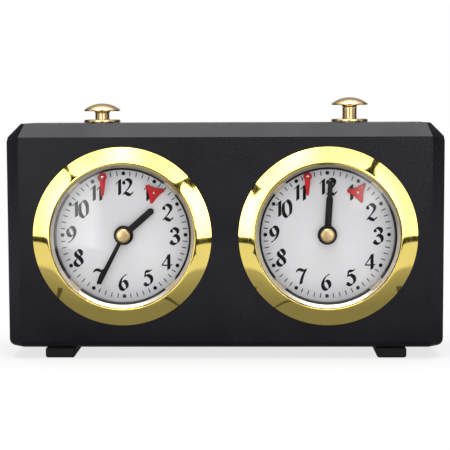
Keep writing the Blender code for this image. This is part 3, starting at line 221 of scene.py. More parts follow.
def grid_faces(rows, columns, close_rows, close_columns):
    """Corner numbers of the quads between neighbouring points of a grid, wrapped round where it closes."""
    row = np.arange(rows if close_rows else rows - 1)
    column = np.arange(columns if close_columns else columns - 1)
    low, left = np.meshgrid(row, column, indexing="ij")
    high, right = (low + 1) % rows, (left + 1) % columns
    corners = [low * columns + left, low * columns + right, high * columns + right, high * columns + left]
    return np.stack(corners, axis=-1).reshape(-1, 4)


def units(vectors, least=1e-12):
    """Vectors brought to a length of one."""
    return vectors / np.maximum(np.linalg.norm(vectors, axis=1, keepdims=True), least)


def lathe(profile, steps, axis="Y"):
    """Surface of revolution: each (radius, along) of the profile goes once round the axis."""
    profile = np.asarray(profile, float)
    turn = np.linspace(0, 2 * math.pi, steps, endpoint=False)
    radius, along = profile[:, :1], np.repeat(profile[:, 1:2], steps, axis=1)
    across, up = radius * np.cos(turn), radius * np.sin(turn)
    points = np.stack([across, along, up] if axis == "Y" else [across, up, along], axis=-1)
    run = np.concatenate([[0], np.cumsum(np.linalg.norm(np.diff(profile, axis=0), axis=1))])
    uv = np.stack(np.broadcast_arrays(turn[None, :] / (2 * math.pi), run[:, None]), axis=-1)
    return points.reshape(-1, 3), grid_faces(len(profile), steps, False, True), uv.reshape(-1, 2)


def rod(radius, first, last, steps):
    """A plain round rod along the Y axis."""
    return lathe([(0, first), (radius, first), (radius, last), (0, last)], steps)


def rounded(corners, radii, steps=5):
    """A line through corners with each inner corner replaced by a quadratic arc of the given reach."""
    corners = np.asarray(corners, float)
    line = [corners[:1]]
    t = np.linspace(0, 1, steps)[:, None]
    for before, corner, after, radius in zip(corners, corners[1:], corners[2:], radii):
        to, on = before - corner, after - corner
        reach = min(radius, np.linalg.norm(to) / 2, np.linalg.norm(on) / 2)
        start = corner + to / np.linalg.norm(to) * reach
        end = corner + on / np.linalg.norm(on) * reach
        line.append((1 - t) ** 2 * start + 2 * t * (1 - t) * corner + t**2 * end)
    line.append(corners[-1:])
    return np.concatenate(line)


def outward(outline):
    """Unit normals of a closed counter-clockwise outline, the mean of those of the sides that meet there."""
    side = np.roll(outline, -1, axis=0) - outline
    normal = units(np.stack([side[:, 1], -side[:, 0]], axis=1))
    return units(normal + np.roll(normal, 1, axis=0), least=1e-6)


def stacked(rows):
    """Points of lines in x and z, each at its depth, and their map places."""
    points = [np.column_stack([row[:, 0], np.full(len(row), depth), row[:, 1]]) for row, depth in rows]
    return np.concatenate(points), np.concatenate([row for row, _ in rows])


def plate(outline, bore, near, far, edge, steps=4):
    """A flat plate across the Y axis with rounded edges and a round bore at the origin, or none at nought.

    Its rows run from the bore's near rim over the near face, round the outer edge and back over the far
    face. The outline must be seen whole from the origin, so each of its points has one on the bore.
    """
    outline = np.asarray(outline, float)
    inset = outward(outline) * edge
    hole = outline / np.linalg.norm(outline, axis=1, keepdims=True) * bore
    turn = np.linspace(0, math.pi / 2, steps)
    rows = [(hole, near)]
    rows += [(outline - inset * (1 - math.sin(a)), near + edge * (1 - math.cos(a))) for a in turn]
    rows += [(outline - inset * (1 - math.cos(a)), far - edge * (1 - math.sin(a))) for a in turn]
    rows.append((hole, far))
    points, uv = stacked(rows)
    return points, grid_faces(len(rows), len(outline), bore > 0, True), uv


def circle(radius, steps, place, first, last):
    """Points of an arc between two angles, counter-clockwise in degrees."""
    turn = np.radians(np.linspace(first, last, steps))
    return np.column_stack([place[0] + radius * np.cos(turn), place[1] + radius * np.sin(turn)])


def pointer(reach, waist, tip, hub, steps, round_tip=True, corner_steps=5):
    """Outline of a round hub with a straight blade that points up, its tip round or blunt, counter-clockwise.

    The steps are those round the hub, along the blade and round the tip.
    """
    lean = math.degrees(math.asin(waist / hub))
    rim = circle(hub, steps[0], (0.0, 0.0), 90 + lean, 450 - lean)
    t = np.linspace(0, 1, steps[1])[1:-1, None]
    top = reach - (tip if round_tip else PLAIN)
    up = np.array([waist, hub]) * (1 - t) + np.array([tip, top]) * t
    if round_tip:
        end = circle(tip, steps[2], (0.0, top), 0, 180)
    else:
        corner = circle(PLAIN, corner_steps, (tip - PLAIN, top), 0, 90)
        end = np.vstack([corner, corner[::-1] * [-1, 1]])
    return np.vstack([rim, up, end, up[::-1] * [-1, 1]])


def curve_through(knots, steps=10):
    """A smooth line of cubic spans through knots.

    The slope at a knot is half the step from the knot before it to the knot after it.
    """
    if len(knots) == 2:
        return knots[0] + np.linspace(0, 1, steps)[:, None] * (knots[1] - knots[0])
    closed = np.allclose(knots[0], knots[-1])
    before = knots[-2] if closed else 2 * knots[0] - knots[1]
    after = knots[1] if closed else 2 * knots[-1] - knots[-2]
    p = np.vstack([before, knots, after])
    t = np.linspace(0, 1, steps, endpoint=False)[None, :, None]
    a, b, c, d = (p[i : len(p) - 3 + i, None, :] for i in range(4))
    spans = b + t * (c - a) / 2 + t**2 * (2 * a - 5 * b + 4 * c - d) / 2 + t**3 * (3 * b - a - 3 * c + d) / 2
    return np.vstack([spans.reshape(-1, 2), knots[-1:]])


def ribbon(path, half, slant, near, far):
    """A flat closed bar along a path, from near to far, half its width to each side, with slanted ends."""
    along = units(np.gradient(path, axis=0))
    normal = np.stack([-along[:, 1], along[:, 0]], axis=1)
    offset = normal * half[:, None] + along * slant[:, None]
    left, right = path + offset, path - offset
    points, uv = stacked([(left, far), (left, near), (right, near), (right, far)])
    start = np.arange(4) * len(path)
    ends = [start, (start + len(path) - 1)[::-1]]
    return points, np.concatenate([grid_faces(4, len(path), True, False), ends]), uv


def swept(profile, first, last, steps=9):
    """A closed (radius, along) profile carried round the Y axis between two angles, with its ends filled."""
    profile = np.asarray(profile, float)
    turn = np.linspace(first, last, steps)
    across, up = profile[:, :1] * np.cos(turn), profile[:, :1] * np.sin(turn)
    along = np.repeat(profile[:, 1:2], steps, axis=1)
    points = np.stack([across, along, up], axis=-1).reshape(-1, 3)
    faces = grid_faces(len(profile), steps, True, False).tolist()
    start = np.arange(len(profile)) * steps
    faces += [start.tolist(), (start + steps - 1)[::-1].tolist()]
    return points, faces, points[:, ::2]


def moved(surface, offset):
    """A surface brought to another place."""
    points, faces, uv = surface
    return points + offset, faces, uv


def joined(parts, place):
    """Several surfaces as one, moved to a place."""
    points, faces, maps, start = [], [], [], 0
    for part_points, part_faces, part_map in parts:
        points.append(part_points)
        maps.append(part_map)
        faces += [[int(corner) + start for corner in face] for face in part_faces]
        start += len(part_points)
    return np.concatenate(points) + np.asarray(place, float), faces, np.concatenate(maps)


def piece(name, parts, place, finish, body, stands_for="", sharp=SHARP):
    """Joins surfaces into one mesh at a place, closes its seams, and dresses it."""
    points, faces, uv = joined(parts, place)
    mesh = bpy.data.meshes.new(name)
    mesh.from_pydata(points.tolist(), [], faces)
    layer = mesh.uv_layers.new(name="UVMap")
    corner = np.empty(len(mesh.loops), np.int32)
    mesh.loops.foreach_get("vertex_index", corner)
    layer.data.foreach_set("uv", np.asarray(uv, np.float32)[corner].ravel())
    shape = bmesh.new()
    shape.from_mesh(mesh)
    bmesh.ops.remove_doubles(shape, verts=shape.verts, dist=WELD)
    bmesh.ops.recalc_face_normals(shape, faces=shape.faces)
    shape.to_mesh(mesh)
    shape.free()
    return dressed(name, mesh, finish, body, stands_for, sharp)


def dressed(name, mesh, finish, body, stands_for, sharp):
    """An object for a finished mesh, with its look, its body and the solid that it stands for."""
    mesh.polygons.foreach_set("use_smooth", np.ones(len(mesh.polygons), bool))
    mesh.set_sharp_from_angle(angle=math.radians(sharp))
    mesh.materials.clear()
    mesh.materials.append(look(finish))
    made = bpy.data.objects.new(name, mesh)
    bpy.context.scene.collection.objects.link(made)
    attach(made, body)
    if stands_for:
        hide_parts(stands_for)
    return made


def softened(node, finish, flat=0.5, corner=32):
    """A copy of a solid of the case: nearly flat faces are merged, and sharp edges get a bevel, by angles."""
    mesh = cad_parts[node].data.copy()
    mesh.name = node + "_finished"
    shape = bmesh.new()
    shape.from_mesh(mesh)
    bmesh.ops.remove_doubles(shape, verts=shape.verts, dist=SOLID_WELD)
    bmesh.ops.dissolve_limit(shape, angle_limit=math.radians(flat), verts=shape.verts, edges=shape.edges)
    shape.to_mesh(mesh)
    shape.free()
    if "custom_normal" in mesh.attributes:
        mesh.attributes.remove(mesh.attributes["custom_normal"])
    made = dressed(node + "_finished", mesh, finish, "case", node, SOLID)
    bevel = made.modifiers.new("Edges", "BEVEL")
    bevel.width = sizes().case_edge
    bevel.segments = 2
    bevel.limit_method = "ANGLE"
    bevel.angle_limit = math.radians(corner)
    bevel.use_clamp_overlap = True
    bevel.harden_normals = True


def recolour(node, finish):
    """Gives a solid that stays in view a better material."""
    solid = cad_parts[node]
    solid.data.materials.clear()
    solid.data.materials.append(look(finish))


# Materials


def tint(base, factor):
    """A lighter or darker colour."""
    return tuple(min(1.0, part * factor) for part in base)


class Nodes:
    """A node tree with makers of linked nodes."""

    def __init__(self, tree):
        self.tree = tree

    def put(self, value, socket):
        """Links a value to a socket, or sets a constant on it."""
        if isinstance(value, bpy.types.NodeSocket):
            self.tree.links.new(value, socket)
        else:
            socket.default_value = value

    def node(self, kind, settings=None, **inputs):
        """A node with its settings and its inputs, whose names have underscores for spaces."""
        made = self.tree.nodes.new("ShaderNode" + kind)
        for key, value in (settings or {}).items():
            setattr(made, key, value)
        for key, value in inputs.items():
            self.put(value, made.inputs[key.replace("_", " ")])
        return made

    def reckon(self, operation, *values):
        """The result of a sum on linked or plain values."""
        made = self.node("Math", {"operation": operation})
        for value, socket in zip(values, made.inputs):
            self.put(value, socket)
        return made.outputs[0]

    def place(self, scale=(1.0, 1.0, 1.0)):
        """Object coordinates, drawn out along an axis where its scale is small."""
        where = self.node("TexCoord").outputs["Object"]
        return self.node("Mapping", Vector=where, Scale=scale).outputs["Vector"]

    def noise(self, vector, scale, detail, rough=0.5):
        """Cloudy noise from nought to one."""
        made = self.node("TexNoise", Vector=vector, Scale=scale, Detail=detail, Roughness=rough)
        return made.outputs["Fac"]

    def spread(self, value, low, high, from_low=0.3, from_high=0.7):
        """A value carried from one range to another."""
        ends = {"From_Min": from_low, "From_Max": from_high, "To_Min": low, "To_Max": high}
        return self.node("MapRange", Value=value, **ends).outputs["Result"]

    def bump(self, height, strength, distance, **under):
        """A normal that leans with a height, over another one if that is given."""
        made = self.node("Bump", Height=height, Strength=strength, Distance=distance, **under)
        return made.outputs["Normal"]


class Look(Nodes):
    """A material with one shader."""

    def __init__(self, name):
        self.material = bpy.data.materials.new(name)
        self.material.use_nodes = True
        super().__init__(self.material.node_tree)
        self.tree.nodes.clear()
        self.shader = self.tree.nodes.new("ShaderNodeBsdfPrincipled")
        self.output = self.tree.nodes.new("ShaderNodeOutputMaterial").inputs["Surface"]
        self.put(self.shader.outputs["BSDF"], self.output)

    def shade(self, **values):
        """Sets or links inputs of the shader."""
        for key, value in values.items():
            self.put(value, self.shader.inputs[key.replace("_", " ")])
        return self.material

    def worn(self, base, cloud, tints, wear, rough, normal, **values):
        """A colour clouded between two tints, a roughness spread by wear, a bumped normal, and constants."""
        mix = self.node("Mix", {"data_type": "RGBA"})
        sockets = mix.inputs[0], mix.inputs[6], mix.inputs[7]
        low, high = ((*tint(base, factor), 1.0) for factor in tints)
        for value, socket in zip((self.spread(cloud, 0.0, 1.0), low, high), sockets):
            self.put(value, socket)
        rough = self.spread(wear, *rough)
        return self.shade(Base_Color=mix.outputs[2], Roughness=rough, Normal=normal, **values)


def moulded(name, base, rough, grain, gloss):
    """Moulded plastic: fine spark-eroded grain, cloudy gloss and a little difference in colour."""
    made = Look(name)
    place = made.place()
    cloud = made.noise(place, scale=45.0, detail=3.0)
    dust = made.noise(place, scale=1200.0, detail=5.0, rough=0.65)
    fine = made.bump(dust, strength=grain, distance=0.00008)
    pits = made.node("TexVoronoi", Vector=place, Scale=1100.0).outputs["Distance"]
    skin = made.bump(pits, strength=grain * 0.8, distance=0.00006, Normal=fine)
    tints, span = (0.86, 1.16), (rough - 0.05, rough + 0.06)
    return made.worn(base, cloud, tints, cloud, span, skin, Specular_IOR_Level=gloss)


def polished(name, base, rough):
    """Polished, lacquered brass: nearly a mirror, with faint wipe marks and a cloudy lacquer."""
    made = Look(name)
    cloud = made.noise(made.place(), scale=70.0, detail=3.0)
    wipes = made.noise(made.place((900.0, 200.0, 60.0)), scale=1.0, detail=2.0)
    skin = made.bump(cloud, strength=0.02, distance=0.00006)
    tints, span = (0.95, 1.04), (rough * 0.8, rough * 1.35)
    return made.worn(base, cloud, tints, wipes, span, skin, Metallic=1.0)


def lathed(name, base, rough, pitch=0.00018):
    """Turned metal: tool marks that run round the axis, from the way along the profile in the piece's map."""
    made = Look(name)
    uv = made.node("UVMap", {"uv_map": "UVMap"}).outputs["UV"]
    along = made.node("Mapping", Vector=uv, Scale=(0.0, 1.0 / pitch, 0.0)).outputs["Vector"]
    marks = made.noise(along, scale=1.0, detail=2.0)
    cloud = made.noise(made.place(), scale=160.0, detail=3.0)
    skin = made.bump(marks, strength=0.35, distance=0.00002)
    tints, span = (0.90, 1.06), (rough * 0.8, rough * 1.25)
    return made.worn(base, cloud, tints, marks, span, skin, Metallic=1.0)


def ground(name, base, rough, scale=(40.0, 40.0, 1600.0)):
    """Ground or stamped metal: fine straight marks along one direction."""
    made = Look(name)
    marks = made.noise(made.place(scale), scale=1.0, detail=3.0)
    cloud = made.noise(made.place(), scale=90.0, detail=3.0)
    skin = made.bump(marks, strength=0.25, distance=0.00002)
    tints, span = (0.88, 1.08), (rough * 0.75, rough * 1.3)
    return made.worn(base, cloud, tints, marks, span, skin, Metallic=1.0)


def enamel(name, base, rough, peel, gloss):
    """Sprayed enamel: a slight peel and a faint unevenness of colour."""
    made = Look(name)
    place = made.place()
    cloud = made.noise(place, scale=55.0, detail=4.0)
    skin = made.bump(made.noise(place, scale=1400.0, detail=2.0), strength=peel, distance=0.00004)
    tints, span = (0.975, 1.02), (rough - 0.04, rough + 0.05)
    return made.worn(base, cloud, tints, cloud, span, skin, Specular_IOR_Level=gloss)


def glass(name):
    """Clear pane: nothing but its sheen, smudged a little."""
    made = Look(name)
    smudge = made.spread(made.noise(made.place(), scale=120.0, detail=4.0), low=0.015, high=0.03)
    return made.shade(Roughness=smudge, Base_Color=WHITE, Metallic=1.0, Alpha=0.022)


LOOKS = {}


def look(name):
    """One of the clock's materials, which are all made together when the first is asked for."""
    if not LOOKS:
        c = bpy.context.scene.clock_colours
        LOOKS.update(
            case=moulded("case_plastic", c.case, rough=0.36, grain=0.70, gloss=0.19),
            cover=moulded("cover_plastic", tint(c.case, 1.2), rough=0.42, grain=0.36, gloss=0.19),
            rocker=moulded("rocker_plastic", c.rocker, rough=0.5, grain=0.15, gloss=0.4),
            rubber=moulded("foot_rubber", c.rubber, rough=0.78, grain=0.30, gloss=0.25),
            bezel=polished("bezel_brass", c.bezel, rough=0.045),
            button=lathed("button_brass", c.button, rough=0.26),
            satin=lathed("bezel_satin", c.satin, rough=0.42),
            tab=ground("tab_brass", c.tab, rough=0.50),
            cap=lathed("cap_brass", tint(c.button, 0.98), rough=0.30),
            key=ground("key_brass", tint(c.button, 0.96), rough=0.28, scale=(300.0, 300.0, 300.0)),
            movement=ground("movement_brass", c.movement, rough=0.34),
            steel=ground("movement_steel", c.steel, rough=0.30),
            spring=ground("spring_steel", c.spring, rough=0.26),
            pin=lathed("pin_steel", tint(c.steel, 1.06), rough=0.24),
            dial=enamel("dial_white", c.dial, rough=0.46, peel=0.05, gloss=0.35),
            ink=enamel("dial_ink", c.ink, rough=0.5, peel=0.15, gloss=0.12),
            hand=enamel("hand_black", c.hand, rough=0.42, peel=0.12, gloss=0.16),
            signal=enamel("signal_red", c.signal, rough=0.40, peel=0.10, gloss=0.14),
            glass=glass("lens_glass"),
        )
    return LOOKS[name]


# Pieces


class CLOCK_OT_case(Operator):
    """Rounds the edges of the case, the cover and the feet, and sets the cover's screws"""

    bl_idname = "clock.case"
    bl_label = "Case"

    # Steps round a screw's head and along its dome
    turns, rings = 96, 26
    # Shares of its radius: the dome's edge, how much of a ball it shows, the cross's half width and reach
    edge, dome, arm, span = 0.96, 0.86, 0.16, 0.62
    # What is left of the dome's height in the cross, and the height of its foot
    cut, foot = 0.35, 0.0001

    def execute(self, context):
        softened("case_shell", "case")
        softened("back_cover", "cover")
        for side in SIDES:
            softened(side + "_foot", "rubber")
        inset = sizes().screw_inset
        low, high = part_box("case_shell")
        corners = [(x, z) for x in (low.x + inset, high.x - inset) for z in (low.z + inset, high.z - inset)]
        for number, (x, z) in enumerate(corners, 1):
            piece(f"cover_screw_{number}", [self.screw()], (x, BACK, z), "pin", "case")
        return {"FINISHED"}

    def screw(self):
        """A raised head with a cross recess.

        The head is a low dome over polar steps. It is lower where a point lies within an arm of the cross.
        """
        wide, high = sizes().screw_radius, sizes().screw_height
        turn = np.linspace(0, 2 * math.pi, self.turns, endpoint=False)
        reach = np.concatenate([np.linspace(0, self.edge, self.rings), [1.0, 1.0]])[:, None] * wide
        x, z = reach * np.cos(turn), reach * np.sin(turn)
        rise = high * np.sqrt(np.clip(1 - (reach / wide * self.dome) ** 2, 0, 1)) + 0 * x
        arm, span = wide * self.arm, wide * self.span
        cross = ((np.abs(x) < arm) & (np.abs(z) < span)) | ((np.abs(z) < arm) & (np.abs(x) < span))
        rise = np.where(cross, rise * self.cut, rise)
        rise[-1] = self.foot
        points = np.stack([x, rise, z], axis=-1).reshape(-1, 3)
        uv = np.stack(np.broadcast_arrays(turn[None, :], reach), axis=-1).reshape(-1, 2)
        return points, grid_faces(len(reach), len(turn), False, True), uv


class CLOCK_OT_bezels(Operator):
    """Turns the polished bezels with their tabs, and the lenses in them"""

    bl_idname = "clock.bezels"
    bl_label = "Bezels and lenses"

    # Depths from the front plane: the bezel's seat, the inner ring's foot and back, the tab's two faces
    seat, ring_foot, ring_back, tab_face, tab_rear = -0.0003, -0.00035, -0.00005, -0.0010, -0.0005
    # The tab's root outside the throat, its bend inside it, and the length of its hook
    tab_root, tab_inset, tab_hook = 0.0010, 0.0011, 0.0022
    tab_turns = (45, 135, 225, 315)
    # Steps along the slope and round the lip, and the share of the rim that is upright
    slope_steps, lip_steps, rim_share = 22, 7, 0.6

    def execute(self, context):
        for side in SIDES:
            node, place = side + "_bezel", centre(side)
            near, hook = depths(node)
            radius = half_width(node)
            lip = radius - sizes().bezel_width
            throat = lip - sizes().throat_taper
            ring = lathe(self.ring(radius, lip, throat, -near), STEPS["bezel"])
            piece(node + "_ring", [ring], place, "bezel", "case", node, STAMPED)
            half = sizes().tab_width / 2 / lip
            section = self.tab(throat, hook)
            turns = [math.radians(turn) for turn in self.tab_turns]
            tabs = [swept(section, turn - half, turn + half) for turn in turns]
            piece(node + "_tabs", tabs, place, "tab", "case", sharp=STAMPED)
            ring = lathe(self.inner_ring(lip, throat, -near), STEPS["bezel"])
            piece(node + "_inner_ring", [ring], place, "satin", "case", sharp=STAMPED)
            node = side + "_lens"
            pane = lathe(self.pane(half_width(node), *depths(node)), STEPS["lens"])
            piece(node + "_pane", [pane], place, "glass", "case", node)
        return {"FINISHED"}

    def pane(self, wide, near, far):
        """A flat disc with rounded edges. A ring of points inside them keeps its faces flat."""
        edge = sizes().part_edge
        flat = wide - 3 * edge
        rim = rounded([(flat, near), (wide, near), (wide, far), (flat, far)], (edge, edge), steps=4)
        return np.vstack([[(0, near)], rim, [(0, far)]])

    def ring(self, radius, lip, throat, rise):
        """Rim, crowned slope, rounded lip and tapered throat, closed over the case's front face."""
        size = sizes()
        s = np.linspace(1, 0, self.slope_steps)
        crest = lip + size.lip_round
        height = size.bezel_rim + (rise - size.bezel_rim) * (1 - s**size.bezel_crown)
        slope = np.column_stack([crest + (radius - crest) * s, -height])
        rim = np.array([[radius, self.seat], [radius, -size.bezel_rim * self.rim_share]])
        lip_turn = rounded([slope[-1], (lip, -rise), (throat, self.seat)], (size.lip_round,), self.lip_steps)
        back = np.array([[throat, self.seat], [radius, self.seat]])
        return np.concatenate([rim, slope, lip_turn[1:-1], back])

    def inner_ring(self, lip, throat, rise):
        """A satin cone from under the lip to a thin foot on the case's front, closed along the throat."""
        top, inner = -(rise - sizes().lip_round), sizes().ring_inner
        corners = [(lip, top), (inner, self.ring_foot), (inner, self.ring_back), (throat, self.ring_back)]
        return np.array(corners + [(throat, self.seat), (lip, top)])

    def tab(self, throat, hook):
        """Cross-section of a tab: from under the throat inward, round a bend and back through the panel."""
        thick = sizes().tab_thickness
        root, inner = throat + self.tab_root, throat - self.tab_inset
        outer = inner + thick
        end = outer + self.tab_hook
        corners = [(root, self.tab_face), (inner, self.tab_face), (inner, hook), (end, hook)]
        corners += [(end, hook - thick), (outer, hook - thick), (outer, self.tab_rear), (root, self.tab_rear)]
        return rounded(corners, (thick / 2, thick / 2, 0, 0, 0, KEEN), steps=4)


# Numbers of the dials in hundredths of their height: the width, then strokes with their pen's weight and
# the x and z of their knots, then round ends with x, z and radius
DIGITS = {
    "0": (58, [(1.0, (29, 98, 10, 80, 6, 50, 11, 18, 29, 2, 48, 20, 52, 50, 47, 82, 29, 98))], []),
    "1": (40, [(1.0, (25, 96, 25, 4)), (0.5, (2, 68, 12, 80, 25, 93))], []),
    "2": (
        62,
        [
            (1.0, (10, 72, 13, 88, 30, 97, 49, 88, 52, 70, 40, 46, 21, 23, 5, 7)),
            (1.0, (5, 7, 20, 13, 38, 6, 53, 5, 62, 19)),
        ],
        [(13, 73, 7.5)],
    ),
    "3": (
        58,
        [
            (1.0, (9, 77, 14, 92, 30, 97, 46, 87, 46, 70, 34, 58, 22, 54)),
            (1.0, (22, 54, 42, 51, 53, 34, 48, 13, 28, 3, 10, 9, 7, 20)),
        ],
        [(12, 78, 7), (10, 19, 7)],
    ),
    "4": (66, [(0.6, (45, 96, 27, 63, 4, 31)), (0.35, (4, 30, 34, 29, 66, 31)), (1.0, (46, 94, 46, 4))], []),
    "5": (
        58,
        [
            (1.0, (15, 90, 30, 88, 44, 92, 55, 99)),
            (0.45, (16, 92, 13, 74, 10, 56)),
            (1.0, (10, 56, 28, 62, 47, 50, 51, 28, 40, 8, 21, 3, 7, 12)),
        ],
        [(10, 13, 6.5)],
    ),
    "6": (
        58,
        [(1.0, (49, 97, 30, 84, 14, 60, 8, 33, 15, 11, 31, 3, 47, 13, 51, 32, 43, 50, 29, 54, 12, 42))],
        [],
    ),
    "7": (
        62,
        [
            (0.9, (4, 79, 8, 92, 24, 92, 42, 87, 59, 96)),
            (1.1, (59, 96, 46, 72, 35, 45, 29, 20, 28, 4)),
        ],
        [],
    ),
    "8": (
        56,
        [
            (
                1.0,
                (46, 82, 30, 97, 13, 86, 14, 68, 30, 54, 46, 37, 49, 20, 40, 7, 27, 3, 11, 10, 7, 26)
                + (16, 42, 32, 54, 44, 67, 46, 82),
            )
        ],
        [],
    ),
    "9": (
        58,
        [(1.0, (9, 3, 28, 16, 44, 40, 50, 67, 43, 89, 27, 97, 11, 87, 7, 68, 15, 50, 29, 46, 46, 58))],
        [],
    ),
}
HUNDRED = 100
# How far each hour's number is printed off its even place
NUDGES = {
    1: (-0.0004, 0.0), 2: (0.0001, -0.0012), 3: (-0.0002, -0.0006), 4: (-0.0002, -0.0010),
    5: (-0.0002, -0.0003), 6: (-0.0004, 0.0002), 7: (-0.0005, 0.0), 8: (-0.0010, 0.0009),
    9: (-0.0006, 0.0), 10: (-0.0008, 0.0009), 11: (-0.0012, 0.0002), 12: (0.0002, 0.0),
}


class CLOCK_OT_dials(Operator):
    """Enamels the dials and prints their numbers and marks"""

    bl_idname = "clock.dials"
    bl_label = "Dials"

    nib_angle = math.radians(40)
    # Points over which a stroke's slanted end fades, and the lift of each stroke over the one before it
    fade, lift = 6, 0.1

    def execute(self, context):
        for side in SIDES:
            node = side + "_dial"
            recolour(node, "dial")
            face, ink = depths(node)[0], sizes().print_height
            marks = self.printed(face - ink, face + ink)
            piece(node + "_print", marks, centre(side), "ink", "case")
        return {"FINISHED"}

    def printed(self, near, far):
        """Hour numbers, hour dots and minute marks round one dial's middle."""
        size = sizes()
        parts = []
        for hour in range(1, 13):
            turn = math.radians(90 - 30 * hour)
            widths = [DIGITS[mark][0] / HUNDRED for mark in str(hour)]
            half = np.array([sum(widths), 1.0]) * size.numeral_height / 2
            heading = np.array([math.cos(turn), math.sin(turn)])
            corner = heading * (size.numeral_reach - np.linalg.norm(half * heading)) - half + NUDGES[hour]
            for mark, width in zip(str(hour), widths):
                parts += self.digit(mark, corner, near, far)
                corner = corner + [width * size.numeral_height, 0]
            x, z = heading * size.dot_circle
            parts.append(moved(rod(size.dot_radius, far, near, STEPS["dot"]), (x, 0, z)))
        half = np.full(2, size.tick_width / 2)
        for minute in (minute for minute in range(60) if minute % 5):
            turn = math.radians(90 - 6 * minute)
            out = np.array([math.cos(turn), math.sin(turn)])
            path = np.array([out * size.tick_inner, out * size.tick_outer])
            parts.append(ribbon(path, half, np.zeros(2), near, far))
        return parts

    def digit(self, mark, corner, near, far):
        """One number: each stroke is as wide as a broad pen held at a slant leaves it, with slanted ends."""
        size = sizes()
        height = size.numeral_height
        hair = size.hairline * height
        nib = np.array([math.cos(self.nib_angle), math.sin(self.nib_angle)]) * size.nib * height
        parts = []
        _, lines, ends = DIGITS[mark]
        for order, (weight, knots) in enumerate(lines):
            knots = np.reshape(knots, (-1, 2)) / HUNDRED
            path = curve_through(knots) * height + corner
            along = units(np.gradient(path, axis=0))
            pen = nib * weight
            across = pen[1] * along[:, 0] - pen[0] * along[:, 1]
            half = hair / 2 + np.abs(across) / 2
            step = np.arange(len(path))
            fade = np.clip(1 - np.minimum(step, step[::-1]) / self.fade, 0, 1)
            slant = np.sign(across) * (along @ pen) / 2 * fade * (not np.allclose(knots[0], knots[-1]))
            lift = self.lift * (near - far) * order
            parts.append(ribbon(path, half, np.where(half > hair, slant, 0.0), near + lift, far))
        for x, z, radius in np.reshape(ends, (-1, 3)) / HUNDRED * height:
            parts.append(moved(rod(radius, far, near, STEPS["ball"]), (corner[0] + x, 0, corner[1] + z)))
        return parts


class CLOCK_OT_hands(Operator):
    """Shapes the hands and turns the caps that hold them"""

    bl_idname = "clock.hands"
    bl_label = "Hands and caps"

    # Each hand's angles from 12 o'clock on the two dials, reach, widths at hub and tip, hub's radius and bore
    hands = {
        "hour": ((48.8, 3.5), 0.0174, 0.0029, 0.0029, 0.0043, 0.0022),
        "minute": ((207.5, 3.0), 0.0240, 0.0017, 0.0022, 0.0028, 0.0012),
    }
    # A cap's bore, its depth, the heights of its slope's two ends, and the slope's inner share of the radius
    cap_bore, cap_floor, cap_low, cap_high, cap_flat = 0.0012, 0.0008, 0.0006, 0.00012, 0.80
    # Steps round a hand's hub, along its blade and round its tip
    steps = (56, 14, 17)

    def execute(self, context):
        for number, side in enumerate(SIDES):
            for kind, (angles, reach, waist, tip, hub, bore) in self.hands.items():
                node = f"{side}_{kind}_hand"
                outline = pointer(reach, waist / 2, tip / 2, hub, self.steps, kind == "hour")
                turn = math.radians(-angles[number])
                way = np.array([[math.cos(turn), math.sin(turn)], [-math.sin(turn), math.cos(turn)]])
                blade = plate(outline @ way, bore, *depths(node), sizes().part_edge)
                body = f"{side}_{kind}"
                piece(node + "_blade", [blade], centre(side), "hand", body, node, STAMPED)
            node = side + "_hand_cap"
            cap = lathe(self.cap(half_width(node), *depths(node)), STEPS["cap"])
            body = side + "_minute"
            piece(node + "_turned", [cap], centre(side), "cap", body, node, STAMPED)
        return {"FINISHED"}

    def cap(self, wide, near, far):
        """A low cone with a rounded edge, bored from behind."""
        floor = near + self.cap_floor
        corners = [(0, near), (wide * self.cap_flat, near + self.cap_high), (wide, near + self.cap_low)]
        corners += [(wide, far), (self.cap_bore, far), (self.cap_bore, floor), (0, floor)]
        return rounded(corners, (PLAIN, PLAIN, FINE, KEEN, KEEN))


